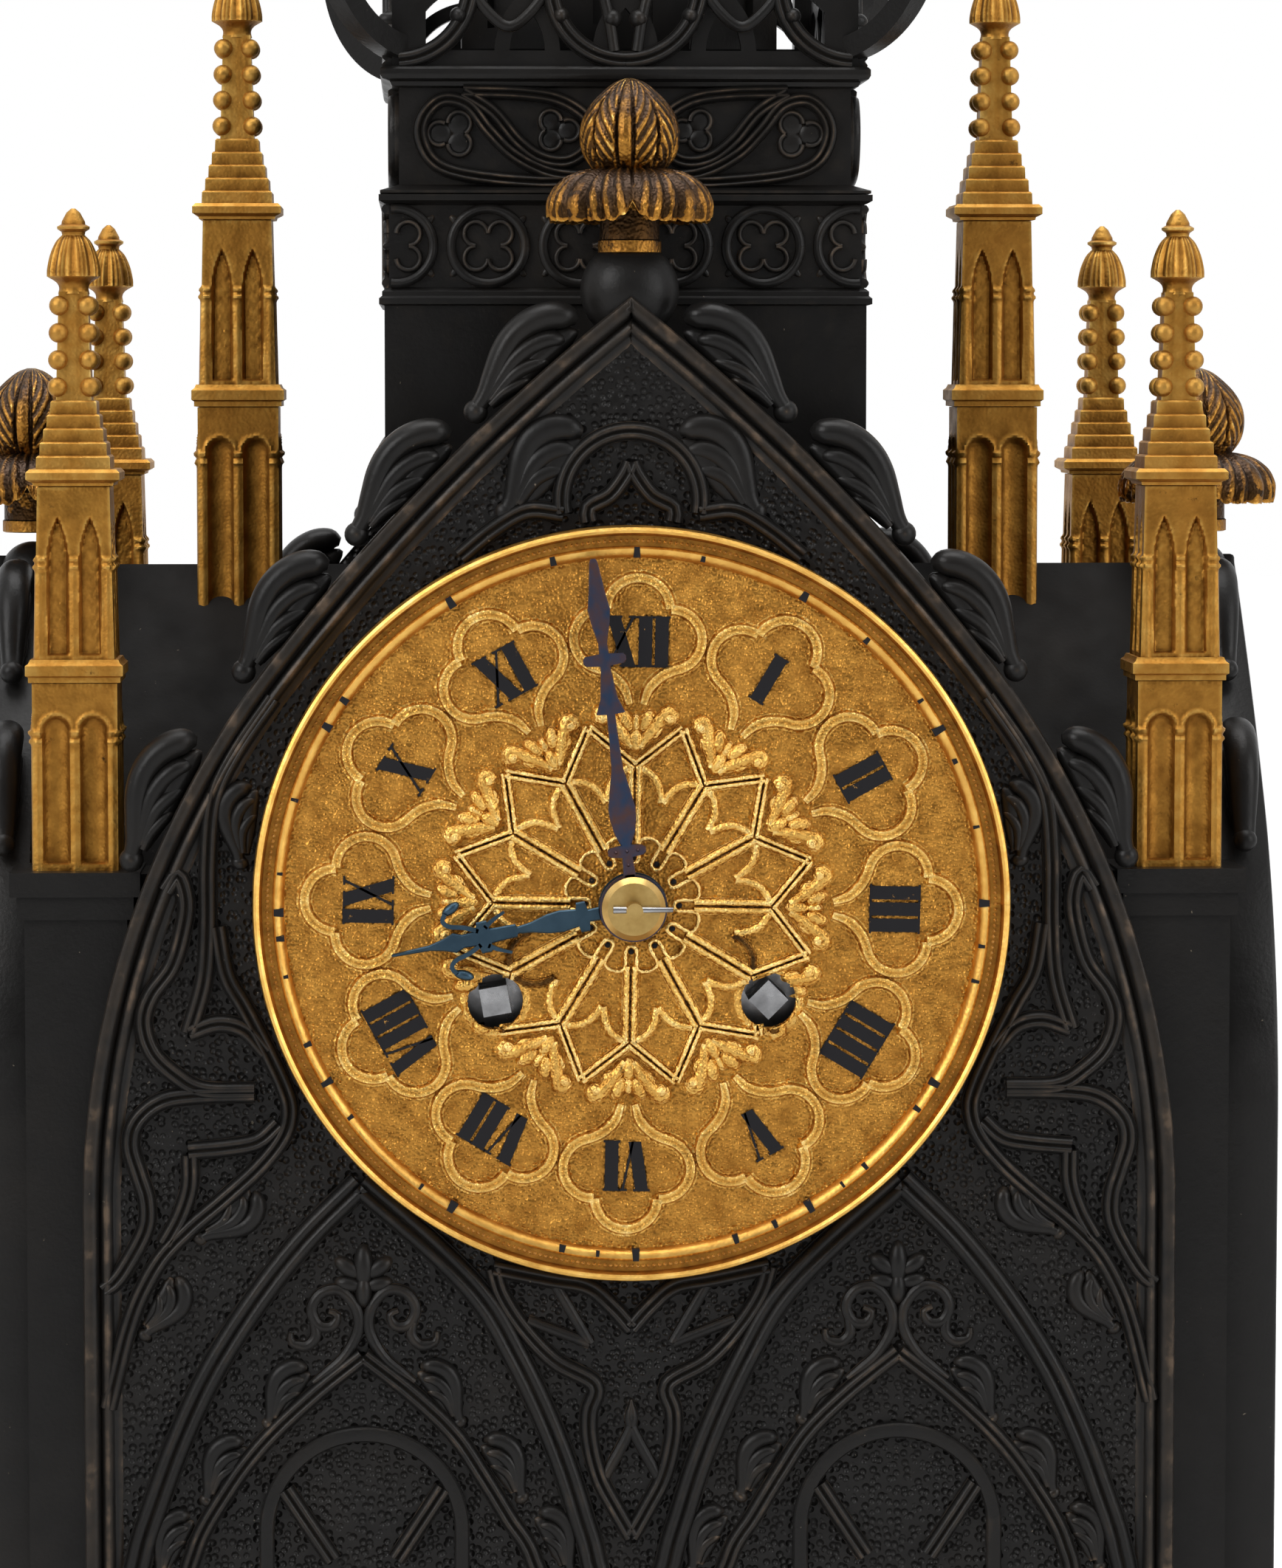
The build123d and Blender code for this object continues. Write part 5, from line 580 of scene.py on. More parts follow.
LEAF_KNOB = (-19.7, 1.5, 0.0, 1.8)


def strand(points, depth, around=22, step=0.5):
    """Tapered strand of elliptic section, so many times as deep as it is wide."""
    line = smooth_line(points, step)
    spine, half = line[:, :2], np.maximum(line[:, 2:], 0.2)
    a = np.linspace(0, TURN, around, endpoint=False)[None, :]
    spot = spine[:, None, :] + left_of(spine)[:, None, :] * (half * np.cos(a))[:, :, None]
    return tube(np.concatenate([spot, (depth * half * np.sin(a))[:, :, None]], axis=2))


def leaf(strands=4):
    shapes = [strand(p, d) for p, d in zip(LEAF_STRANDS[:strands], STRAND_DEPTH)]
    return join(shapes + [strand(LEAF_CORE, 0.9), ball(*LEAF_KNOB)])


def wall_leaf(tail, head, flat=0.75, side=1):
    """Flattened leaf in relief, from tail to head, with its back to the left (side 1) or right (-1)."""
    tail, head = np.asarray(tail, float), np.asarray(head, float)
    along = unit(head - tail)
    out = side * np.array([-along[1], along[0]])
    size = np.linalg.norm(head - tail) / LEAF_LENGTH
    shape = leaf(3)
    v = shape[0]
    spot = head + size * (v[:, :1] * along + LEAF_BREADTH * (v[:, 1:2] - LEAF_MIDDLE) * out)
    return moved(shape, np.column_stack([spot, flat * size * v[:, 2]]))


# Front and rear walls: hammered ground, moulded rim and tracery ribs
RIM_SECTION = [
    (0, -3.9), (0, 1.3), (0.25, 1.8), (0.8, 2), (1.4, 1.95), (1.9, 1.6), (2.25, 0.9), (2.45, 0.5),
    (2.7, 0.9), (3.1, 1.35), (3.5, 1.45), (3.95, 1.2), (4.3, 0.6), (4.55, 0.4), (5, 0.35), (5.5, 0),
    (5.5, -0.6)]
GROUND_INSET = 0.4
HAMMER_DEPTH = 0.10
WALL_REACH = 0.7
FINE_REACH = 0.6
FRONT_EDGE = gable_edge(half=80.0, foot=PLINTH_TOP_Z, spring=141.0, shoulder=(52.6, 221.0), apex=274.0)
SIDE_EDGE = gable_edge(half=48.0, foot=PLINTH_TOP_Z, spring=152.4, shoulder=(31.5, 200.3), apex=234.8)


def wall_ground(edge, step, hole, thick):
    """Wall sheet under a gabled edge as rows of equal share, with a round hole (x, z, radius) or none."""
    rows = np.arange(edge[0, 1], edge[-1, 1], step)
    half = np.maximum(np.interp(rows, edge[:, 1], -edge[:, 0]) - GROUND_INSET, 0.1)
    share = np.linspace(-1, 1, int(2 * half[0] / step) + 1)
    x = half[:, None] * share[None, :]
    z = np.broadcast_to(rows[:, None], x.shape)
    swell = HAMMER_DEPTH * np.sin(x * 1.9 + 0.6 * np.sin(z * 1.3)) * np.sin(z * 2.1 + 0.8 * np.sin(x * 0.9))
    top = np.stack([x, z, swell], -1).reshape(-1, 3)
    quads = grid_quads(len(rows), len(share))
    if hole is not None:
        mid = top[quads].mean(1)
        quads = quads[np.hypot(mid[:, 0] - hole[0], mid[:, 1] - hole[1]) > hole[2]]
    base = top.copy()
    base[:, 2] = -thick
    return slab(top, base, quads)


def rim(edge, section):
    """Moulding that follows a gabled edge, inside it, on the left."""
    shape = sweep(edge, [(-across, height) for across, height in section])
    shape[0][:, 0] = np.minimum(shape[0][:, 0], 0.0)
    return shape


def wall_pieces(places, node, layers):
    """Pieces of a wall and, half a turn about, of its twin, from layers of (name, shapes, material)."""
    for place, turn in zip(places, (0, 180)):
        for layer, shapes, material in layers:
            piece(f"{place}_wall_{layer}", each(turned, shapes, turn), material,
                  [f"{place}_{node}"], reach=WALL_REACH)


FLANK_RIBS = (
    [(-52, 30), (-57.5, 22), (-60.6, 15.2), (-61.5, 6.4), (-61.6, -3.3), (-62.2, -11.2), (-64.4, -18.8)],
    [(-67.7, 2), (-65.9, 4.2), (-64.7, 0.7), (-65.1, -3.3), (-66.8, -9), (-69.9, -13.4), (-71, -17.3),
     (-69.7, -21.7), (-66.4, -25), (-62.4, -27.2), (-55, -27.4)],
    [(-55, -27.8), (-63.3, -28), (-68.6, -28.9), (-72.1, -31.8), (-73, -35.3), (-71.8, -39.7),
     (-70.7, -43.6), (-71.1, -48), (-74.8, -54.6), (-77.1, -56.6)],
    [(-60.2, -3.3), (-58.9, -10.3), (-56.3, -15.1), (-53.2, -21.2), (-50.6, -26.9), (-49.8, -30.5),
     (-51, -34.4), (-54.5, -38.8), (-59.8, -43.6), (-64.4, -47.5), (-68.6, -51.9), (-71.7, -57.3),
     (-73.7, -62.7), (-75.4, -69.3), (-76.6, -74)],
    [(-64.4, -18.8), (-60.2, -17.5), (-56.3, -18.4), (-53.2, -21.7)],
    [(-64.6, -36.2), (-58.9, -35.7), (-54.5, -34.8), (-51.5, -32.2)],
    [(-64.4, -36.8), (-64.5, -41.4), (-65.9, -45.8), (-68.1, -49.8)])
HEAD_RIBS = (
    [(-9.9, 56.6), (-15.1, 57.0), (-20, 54.3), (-24.8, 50.4)],
    [(-6.1, 55.5), (-6.1, 57.5), (-3, 59.3), (-0.7, 62.4), (0, 64)])
LANCET_LEFT = [
    (-39.6, -41.1), (-47.7, -49.2), (-54.7, -58.1), (-61.3, -68.5), (-65.9, -78.2), (-69.4, -87.5),
    (-72.1, -96), (-73.2, -106), (-73.5, -147)]
LANCET_RIGHT = [
    (-39.6, -41.1), (-28.4, -51.1), (-21.5, -58.7), (-16.9, -66.8), (-13.1, -74.8), (-9.9, -82.9),
    (-7.5, -90.5), (-5.7, -96.8), (-4.6, -106), (-4.3, -147)]
INNER_LEFT = [
    (-39.4, -66.6), (-46.6, -72.4), (-53.9, -79.4), (-59.4, -86.7), (-64, -95.2), (-65.6, -106),
    (-66, -147)]
INNER_RIGHT = [
    (-39.2, -66.6), (-32, -72.4), (-26, -78.3), (-21.8, -84.6), (-18, -90.9), (-14.5, -96.8),
    (-12.7, -107), (-12.4, -147)]
LANCET_AXIS = -39.2
LANCET_HEAD = -92.5
LANCET_HEAD_RADIUS = 14.3
LANCET_FOOT = -147
LANCET_CUSP = [(-50.8, -86.3), (-47.2, -91.8), (-43.9, -96.8)]
LANCET_LEAVES = (
    ((-54.0, -76.2), (-47.9, -68.0)), ((-63.2, -87.5), (-57.2, -79.0)), ((-70.3, -98.6), (-65.2, -89.9)))
C_SCROLL = [
    (-46.6, -70.5), (-42.3, -67), (-40, -62.7), (-40.4, -59.3), (-42.7, -56.9), (-45.4, -57.3),
    (-46.8, -59.6), (-45.8, -62), (-43.9, -62.2), (-43.1, -60.6), (-44.3, -60)]
SIDE_SCROLL = [(-46.8, -60.4), (-46.2, -63.5), (-47.7, -65.1), (-49.7, -64.5), (-49.9, -63.1)]
DAGGER_EDGE = [
    (-20.2, -53.7), (-19, -57.7), (-15.9, -62.6), (-11.3, -67.5), (-5.4, -71.1), (-6.2, -75.2),
    (-6.1, -79.4), (-4.7, -85), (-2.2, -89.8), (0, -93.7)]
DAGGER_TOP = [(-20.2, -53.7), (-12, -55.4), (-6.4, -56.5), (-2.9, -59.4), (0, -62.7)]
DAGGER_KNOT = (-6.1, -65)
HEAD_ROUNDEL = dict(centre=(0, DIAL_Z + 58.55), radius=10.05, start=-10.6, end=190.6)


def lancet_tracery():
    """Left lower lancet with its inner arch, round head, scrolls and leaves."""
    shapes = [rib(p, TRIPLE_RIB) for p in (LANCET_LEFT, LANCET_RIGHT)]
    shapes += [rib(p, DOUBLE_RIB) for p in (INNER_LEFT, INNER_RIGHT)]
    shapes.append(sweep(arc_line((LANCET_AXIS, LANCET_HEAD), LANCET_HEAD_RADIUS, 0, 180), FLAT_BAND))
    for side in (-1, 1):
        x = LANCET_AXIS + side * LANCET_HEAD_RADIUS
        shapes.append(rib([(x, LANCET_HEAD), (x, -120), (x, LANCET_FOOT)], FLAT_BAND))
    paired = [rib(p, SINGLE_RIB, 0.5, (0.6, 0.5)) for p in (C_SCROLL, SIDE_SCROLL)]
    paired.append(rib(LANCET_CUSP, DOUBLE_RIB))
    paired += [wall_leaf(tail, head, 1.0) for tail, head in LANCET_LEAVES]
    paired.append(blob(LANCET_AXIS - 2.2, -53.6, 2.4, 1.3, 1.3, 145))
    paired.append(blob(LANCET_AXIS - 2.1, -56.0, 2.2, 1.2, 1.2, 170))
    shapes += paired + each(mirrored, paired, LANCET_AXIS)
    shapes.append(blob(LANCET_AXIS, -53.4, 1.5, 3.4, 1.6))
    shapes.append(blob(LANCET_AXIS, -57.0, 1.3, 2.6, 1.7))
    return shapes


def dagger_tracery():
    shapes = [rib(p, DOUBLE_RIB) for p in (DAGGER_EDGE, DAGGER_TOP)]
    shapes += [rib([p, DAGGER_KNOT], SINGLE_RIB) for p in ((-11.3, -55.9), (-15.2, -61.5))]
    shapes.append(rib([(0, -73.4), (0, -77.3), (-4, -85)], SINGLE_RIB, taper=(0.3, 1)))
    return shapes


def facade_relief():
    relief = [rib(p, DOUBLE_RIB) for p in FLANK_RIBS + HEAD_RIBS]
    relief += lancet_tracery() + dagger_tracery()
    relief.append(wall_leaf((-19.3, 57.6), (-7.6, 69.0)))
    relief.append(wall_leaf((-62.5, -49.9), (-54.6, -42.6), 1.0, side=-1))
    relief.append(wall_leaf((-70.5, -63.9), (-66.0, -55.0), 1.0, side=-1))
    relief.append(wall_leaf((-58.0, 6.0), (-55.8, 17.4), 1.0))
    shapes = both_sides(each(shifted, relief, 0, DIAL_Z, 0))
    shapes.append(sweep(arc_line(**HEAD_ROUNDEL), DOUBLE_RIB))
    return each(on_front, shapes, FIELD_Y)


# Balls at the apexes, and the middles of what stands on them
BALL_RADIUS = 7.2
FRONT_BALL = (0.0, -49.6, 274.9)
SIDE_BALL = (90.5, 0.0, 232.0)
SIDE_BALL_RADIUS = 5.0
SIDE_FINIAL = (90.5, 0.0, 233.0)
SPIRE_BALL_Z = 451.1
BALL_SQUASH = np.array([1.0, 0.86, 1.0])

FRONT_HOLE = (0, DIAL_Z, 49.5)
FRONT_STEP = 0.95
front_ground = on_front(wall_ground(FRONT_EDGE, FRONT_STEP, FRONT_HOLE, FRONT_THICK), FIELD_Y)
front_rim = each(on_front, both_sides([rim(FRONT_EDGE, RIM_SECTION)]), FIELD_Y)
front_ball = ball(0, 0, 0, BALL_RADIUS, 48, 28)
front_ball = shifted(moved(front_ball, front_ball[0] * BALL_SQUASH), *FRONT_BALL)
wall_pieces(("front", "rear"), "facade", (
    ("ground", [front_ground], HAMMERED), ("tracery", facade_relief() + [front_ball], PATINA),
    ("rim", front_rim, WORN)))


# Dial: stippled plate with raised tracery, numerals, minute track and bezel
CARTOUCHE_RIB = [
    (-1.15, -0.4), (-1.15, 0.06), (-0.82, 0.05), (-0.8, 0.55), (-0.62, 0.88), (-0.4, 0.92), (0, 0.80),
    (0.4, 0.92), (0.62, 0.88), (0.8, 0.55), (0.82, 0.05), (1.15, 0.06), (1.15, -0.4)]
FINE_RIB = beads(1, 0.75, 0.75)
SPOKE_RIB = beads(2, 2.5, 0.95)
ARM_RIB = beads(2, 1.9, 0.95)
KITE_RIB = beads(1, 1.25, 0.8)
DIAL_TURN = 1.2
DIAL_THICK = 1.6
DIAL_SPOKES = 300
DIAL_HOLE = 3.6
DIAL_EDGE = 52.4
RING_STEP = 0.75
PETAL_DOT = 6.85
LIP_SECTION = [(0.55, -DIAL_THICK), (0.55, 0.1), (0.3, 0.28), (-0.1, 0.25), (-0.5, 0.0), (-0.5, -DIAL_THICK)]
LOBE_SIDE = (4.9, 38.6)
LOBE_TOP = (0.0, 42.9)
CARTOUCHE_OGEE = [(6.40, 34.47), (4.7, 33.9), (3.2, 33), (1.75, 31.4), (1, 29.2)]
KITE_SIDE = [(1.0, 19.9), (2.5, 18.9), (3.45, 17.4), (3.95, 15.0)]
FLEURON_CURL = [(0.5, 23), (1.9, 24.9), (3.5, 26.9), (4.7, 28.1), (5.4, 27.6), (5.1, 26.8)]
PETAL_STEP = [
    (-2.59, 9.66), (-1.35, 9.62), (-0.85, 9), (-0.82, 7.2), (-0.6, 6.35), (0, 6.05), (0.6, 6.35),
    (0.82, 7.2), (0.85, 9), (1.35, 9.62)]


def dial_sector():
    """Relief about one hour line, as (across, out from the centre, height)."""
    side = np.vstack([arc_line(LOBE_SIDE, 4.4, 92, -70, 0.4), smooth_line(CARTOUCHE_OGEE, 0.4)[1:]])
    half = [
        sweep(side, CARTOUCHE_RIB, (1, 0.7)),
        sweep(arc_line(LOBE_TOP, 4.6, 2, 90, 0.4), CARTOUCHE_RIB),
        rib([(0.0, 20.2), (6.9, 25.7)], ARM_RIB, 0.5),
        rib(KITE_SIDE, KITE_RIB, 0.3),
        rib(FLEURON_CURL, beads(1, 2.1, 1.35), 0.3, (0.7, 0.85)),
        blob(4.8, 27.1, 1.2, 1.1, 1.6),
        blob(1.5, 26.8, 1.9, 1.15, 1.3, 68),
        blob(2.9, 25.2, 1.5, 0.9, 1.0, 45)]
    shapes = both_sides(half)
    shapes.append(rib([(0, 9.0), (0, 20.2)], SPOKE_RIB, 0.5))
    shapes += [blob(0, 24.0, 1.2, 1.9, 1.4), blob(0, 26.4, 0.8, 1.4, 1.0)]
    return shapes


def petal_ring():
    """Cogged line of twelve petals; it dips round a drilled dot on each hour line."""
    step = np.column_stack([PETAL_STEP, np.zeros(len(PETAL_STEP))])
    line = np.vstack([spun(made(step, []), 30 * hour)[0][:, :2] for hour in range(12)])
    return sweep(smooth_line(np.vstack([line, line[:1]]), 0.25), FINE_RIB)


def from_winding_hole(verts, faces):
    """Distance of each face's middle from the centre of the nearer winding hole."""
    mid = verts[faces].mean(1)
    return np.hypot(np.abs(mid[:, 0]) - WINDING_X, mid[:, 1] - WINDING_Z)


def dial_plate():
    rings = np.concatenate([[DIAL_HOLE], np.arange(DIAL_HOLE + 0.6, DIAL_EDGE, RING_STEP)])
    a = np.linspace(0, TURN, DIAL_SPOKES, endpoint=False)
    x, z = rings[:, None] * np.sin(a), rings[:, None] * np.cos(a)
    swell = 0.05 * np.sin(x * 1.1 + 0.7 * np.sin(z)) * np.sin(z * 1.3)
    top = np.stack([x, z, swell], -1).reshape(-1, 3)
    quads = grid_quads(len(rings), DIAL_SPOKES, wrap=True)
    open_hole = from_winding_hole(top, quads) < WINDING_HOLE + 0.25
    base = top.copy()
    base[:, 2] = -DIAL_THICK
    return slab(top, base, quads[~open_hole])


def hole_ring(side):
    """Rounded lip round a winding hole."""
    line = arc_line((side * WINDING_X, WINDING_Z), WINDING_HOLE + 0.5, 0, 360, 0.4)
    return sweep(line, LIP_SECTION)


def clear_of_holes(shape):
    """Leave out the ribs' faces that would cross a winding hole."""
    v, q, t = shape
    return v, q[from_winding_hole(v, q) >= WINDING_HOLE], t[from_winding_hole(v, t) >= WINDING_HOLE]


dial = [dial_plate(), hole_ring(-1), hole_ring(1)]
for hour in range(12):
    dial += each(spun, dial_sector(), 30 * hour + DIAL_TURN)
dial.append(spun(petal_ring(), DIAL_TURN))
dial = [on_front(clear_of_holes(s), DIAL_Y, DIAL_Z) for s in dial]
piece("dial_relief", dial, STIPPLED, ["dial_plate"], reach=0.9)

# Numerals: strokes as (left, right) at the foot and at the head, on a height of one
NUMERAL_FOOT = 34.7
NUMERAL_TALL = 7.1
NUMERAL_GAP = 0.42
NUMERAL_MOST = 10.6
SERIF_HALF = 0.16
PAINT_SINK = -0.2
STROKE_RISE = 0.28
SERIF_RISE = 0.27
NUMERALS = ("XII", "I", "II", "III", "IIII", "V", "VI", "VII", "VIII", "IX", "X", "XI")
STROKES = {
    "I": (1.95, [(0.0, 1.95, 0.0, 1.95)]),
    "V": (4.0, [(1.15, 3.0, 0.0, 1.9), (2.2, 2.55, 3.55, 3.9)]),
    "X": (4.2, [(2.25, 4.2, 0.0, 1.95), (0.1, 0.5, 3.6, 4.0)])}
SERIFS = {"I": [(-0.25, 2.2, 0), (-0.25, 2.2, 1)], "V": [(-0.25, 2.2, 1), (3.1, 4.3, 1)],
          "X": [(1.9, 4.45, 0), (-0.3, 1.0, 0), (-0.25, 2.2, 1), (3.1, 4.4, 1)]}


def numeral(text):
    """Roman numeral with thick and hairline strokes, centred on its hour line."""
    width = sum(STROKES[c][0] + NUMERAL_GAP for c in text) - NUMERAL_GAP
    squeeze = np.array([min(1.0, NUMERAL_MOST / width), 1, 1])
    shapes, x = [], -width / 2
    foot, head = NUMERAL_FOOT, NUMERAL_FOOT + NUMERAL_TALL
    for letter in text:
        wide, strokes = STROKES[letter]
        for a, b, c, d in strokes:
            corners = [(x + a, foot), (x + b, foot), (x + d, head), (x + c, head)]
            shapes.append(plate(corners, PAINT_SINK, STROKE_RISE))
        for a, b, end in SERIFS[letter]:
            low, high = (foot, head)[end] - SERIF_HALF, (foot, head)[end] + SERIF_HALF
            corners = [(x + a, low), (x + b, low), (x + b, high), (x + a, high)]
            shapes.append(plate(corners, PAINT_SINK, SERIF_RISE))
        x += wide + NUMERAL_GAP
    return [moved(s, s[0] * squeeze) for s in shapes]


TRACK_RADIUS = 51.2
marks = []
for hour, text in enumerate(NUMERALS):
    marks += each(spun, numeral(text), 30 * hour + DIAL_TURN)
for minute in range(60):
    wide, tall, shown = rng.uniform(0.22, 0.5), rng.uniform(0.3, 0.7), rng.random() < 0.55
    if minute % 5 == 0:
        wide, tall, shown = rng.uniform(0.45, 0.65), rng.uniform(0.7, 0.95), True
    if shown:
        low, high, head = TRACK_RADIUS - tall, TRACK_RADIUS + tall, wide * 0.8
        dab = plate([(-wide, low), (wide, low), (head, high), (-head, high)], 0.1, 1.56)
        marks.append(spun(dab, 6 * minute + rng.uniform(-1, 1)))
for hour in range(12):
    marks.append(spun(blob(0, PETAL_DOT, 0.45, 0.45, 0.12), 30 * hour + DIAL_TURN))
piece("dial_numerals", each(on_front, marks, DIAL_Y, DIAL_Z), ENAMEL)

BEZEL_PROFILE = [
    (55, -3), (55, 1.6), (54.8, 2.15), (54.4, 2.38), (54, 2.15), (53.8, 1.5), (53.6, 0.95), (52.1, 0.9),
    (52, 1.25), (51.7, 1.5), (51.2, 1.4), (50.7, 0.9), (50.4, 0.2), (50.4, -0.5)]
BEADS = 416
BEAD_RING = 52.85
BEAD_RADIUS = 0.37
BEAD_RISE = 1.45
bezel = [sweep(arc_line((0, 0), BEAD_RING, 0, 360, 0.7), [(BEAD_RING - r, h) for r, h in BEZEL_PROFILE])]
for k in range(BEADS):
    a = TURN * k / BEADS
    spot = (BEAD_RING * math.sin(a), BEAD_RING * math.cos(a))
    bezel.append(blob(*spot, BEAD_RADIUS, BEAD_RADIUS, BEAD_RISE, around=8, up=3))
piece("bezel_ring", each(on_front, bezel, DIAL_Y, DIAL_Z), GILT, ["dial_bezel"])

# Hands: blades as (distance from the centre, half width), with scrolls on the hour hand
MINUTE_BLADE = [
    (4.5, 0.9), (7.4, 0.75), (7.6, 2.4), (7.9, 2.75), (8.7, 2.75), (9, 2.4), (9.2, 0.8), (11, 1.5),
    (13, 1.9), (14.6, 1.95), (17, 1.5), (20.2, 0.86), (24.4, 0.67), (28.2, 0.6), (28.3, 2.1),
    (30.5, 1.25), (34.4, 0.75), (35.2, 0.75), (35.4, 2.8), (35.8, 3.1), (36.4, 3.1), (36.8, 2.8),
    (37, 0.7), (38.5, 0.63), (41.5, 1.35), (43.4, 1.6), (46, 1.15), (50.2, 0.6), (50.7, 0.35)]
HOUR_BLADE = [
    (4.5, 0.95), (6.5, 0.9), (6.7, 2.2), (8, 2.2), (8.2, 1.3), (10.5, 1.6), (12.5, 1.4), (15, 0.75),
    (17, 0.5), (17.2, 0.95), (19.8, 1), (21, 1.1), (21.2, 2.3), (22.7, 2.3), (23, 1.1), (25, 0.95),
    (26.3, 1.45), (28, 0.85), (30, 0.4), (35.4, 0.22), (35.6, 0.1)]
HOUR_SCROLL = [(1, 22.6), (1.9, 24.5), (2.5, 26.6), (3.4, 27.4), (4.4, 26.9)]
HOUR_TENDRIL = [(1.3, 21.6), (2.2, 20.2), (3.0, 18.4)]
HAND_THICK = 0.8
HAND_BEVEL = 0.18
RIVET_RADIUS = 0.42
RIVET_RISE = HAND_THICK + 0.25
STRAP_HALF = 0.32
RIVETS = ((0, 6.3), (0, 8.3), (1.6, 8.3), (-1.6, 8.3))
MINUTE_Y = -63.2
HOUR_Y = -61.0
MINUTE_ANGLE = 353.4
HOUR_ANGLE = 258.6


def blade(stations):
    """Flat hand with bevelled edges, as (across, along, height)."""
    reach, width = np.array(stations).T
    along = np.unique(np.concatenate([np.arange(reach[0], reach[-1], 0.4), reach]))
    half = np.interp(along, reach, width)[:, None]
    bevel = np.minimum(half * 0.5, HAND_BEVEL)
    across = np.hstack([-half, -half, bevel - half, half - bevel, half, half])
    edge = HAND_THICK - HAND_BEVEL
    level = np.broadcast_to([0, edge, HAND_THICK, HAND_THICK, edge, 0], across.shape)
    return tube(np.stack([across, np.broadcast_to(along[:, None], across.shape), level], -1), flipped=True)


def bar(half):
    """Plain section of a hand's thickness."""
    return [(-half, 0), (-half, HAND_THICK), (half, HAND_THICK), (half, 0)]


def hub(radius, hole):
    return sweep(arc_line((0, 0), (radius + hole) / 2, 0, 360, 0.5), bar((radius - hole) / 2))


minute_hand = [blade(MINUTE_BLADE), hub(radius=4.9, hole=1.6)]
minute_hand += [blob(u, v, RIVET_RADIUS, RIVET_RADIUS, RIVET_RISE, around=12, up=4) for u, v in RIVETS]
minute_hand = [on_front(spun(s, MINUTE_ANGLE), MINUTE_Y, DIAL_Z) for s in minute_hand]
piece("minute_hand_blade", minute_hand, TEMPERED, ["minute_hand"], "centre_arbor")
strap = bar(STRAP_HALF)
hour_hand = both_sides([
    rib(HOUR_SCROLL, strap, 0.3), rib(HOUR_TENDRIL, strap, 0.3, (1, 0.6)),
    blob(4.9, 25.9, 1.5, 0.75, HAND_THICK, 115, sink=0.0)])
hour_hand += [blade(HOUR_BLADE), hub(radius=5.0, hole=2.6)]
hour_hand = [on_front(spun(s, HOUR_ANGLE), HOUR_Y, DIAL_Z) for s in hour_hand]
piece("hour_hand_blade", hour_hand, BLUED, ["hour_hand"], "hour_arbor")

# Crockets seated along the gables
CROCKET_STATIONS = (8.6, 32.8, 58.1, 89.9)
SIDE_STATIONS = (6.5, 37.5)
CROCKET_Y = -53.9
SIDE_CROCKET_Y = -92.4


def on_edge(shape, edge, station, y):
    """Seat a crocket on a gable's left edge, at a distance from its apex."""
    k = int(np.argmin(np.abs(travelled(edge[::-1])[::-1] - station)))
    along = unit(edge[k + 1] - edge[k - 1])
    out = np.array([-along[1], along[0]])
    v = shape[0]
    flat = edge[k] + v[:, :1] * along + v[:, 1:2] * out
    return moved(shape, np.column_stack([flat[:, 0], y - v[:, 2], flat[:, 1]]))


def crocket_rows(edge, stations, y):
    return both_sides([on_edge(leaf(), edge, station, y) for station in stations])


front_crockets = crocket_rows(FRONT_EDGE, CROCKET_STATIONS, CROCKET_Y)
left_crockets = each(turned, crocket_rows(SIDE_EDGE, SIDE_STATIONS, SIDE_CROCKET_Y), -90)
for name, shapes, node in (("crockets_front_rear", front_crockets, "gable_crockets"),
                           ("crockets_sides", left_crockets, "side_crockets")):
    piece(name, shapes + each(turned, shapes, 180), PATINA, [node], reach=FINE_REACH)

# Finials: collar, drooping skirt of four leaves and a bud, above the centre of the ball they stand on
COLLAR_PROFILE = [(4.2, 5.4), (4.6, 5.55), (4.6, 7.2), (4.35, 7.4), (4.3, 16)]
SKIRT_CURVE = [
    (4.6, 17.7), (6.4, 17.4), (8.4, 16.8), (10.2, 15.7), (11.4, 14.3), (12, 12.7), (12, 11.2),
    (11.7, 9.8)]
SKIRT_NOTCH = 0.22
BUD_FOOT = 17.2
BUD_TOP = 30.7
BUD_CURVE = [
    (0, 5), (0.07, 5.7), (0.22, 6.7), (0.40, 7), (0.57, 6.6), (0.73, 5.4), (0.87, 3.6), (0.96, 2),
    (1, 0.6)]
BUD_TURN = math.pi / 4 + 0.14


def from_middle(angle, count):
    """Place across the nearest of so many leaves, from -1 to 1, with one leaf's edge to the front."""
    return 2 * (((angle + TURN / 4) * count / TURN) % 1.0) - 1


def band(q, middle, width):
    """Smooth ridge of height one about a middle."""
    return np.exp(-((q - middle) / width) ** 2)


def skirt():
    """Four drooping leaves with a midrib between dark grooves and ribs that spread to the notched edge."""
    rows, columns = 32, 208
    p = np.linspace(0, 1, rows)[:, None]
    a = np.linspace(0, TURN, columns, endpoint=False)[None, :]
    q = np.abs(from_middle(a, 4))
    curve = smooth_line(SKIRT_CURVE, 0.2)
    far = travelled(curve) / travelled(curve)[-1]
    slope = unit(np.gradient(curve, axis=0))
    reach = p * (1 - SKIRT_NOTCH * q ** 7 - 0.02 * np.cos(10 * math.pi * q) * p)
    ribs = 0.34 * np.cos(TURN * (4.6 * q - 0.9 * p)) * (q > 0.27)
    rise = (ribs + 0.4 * band(q, 0, 0.12) - 0.55 * band(q, 0.2, 0.06) - q ** 12) * np.sqrt(p)
    sheets = []
    for lift in (rise, rise * 0.3 - 0.8):
        radius = np.interp(reach, far, curve[:, 0]) - lift * np.interp(reach, far, slope[:, 1])
        level = np.interp(reach, far, curve[:, 1]) + lift * np.interp(reach, far, slope[:, 0])
        sheets.append(np.stack([radius * np.cos(a), radius * np.sin(a), level], -1).reshape(-1, 3))
    return slab(sheets[0], sheets[1], grid_quads(rows, columns, wrap=True))


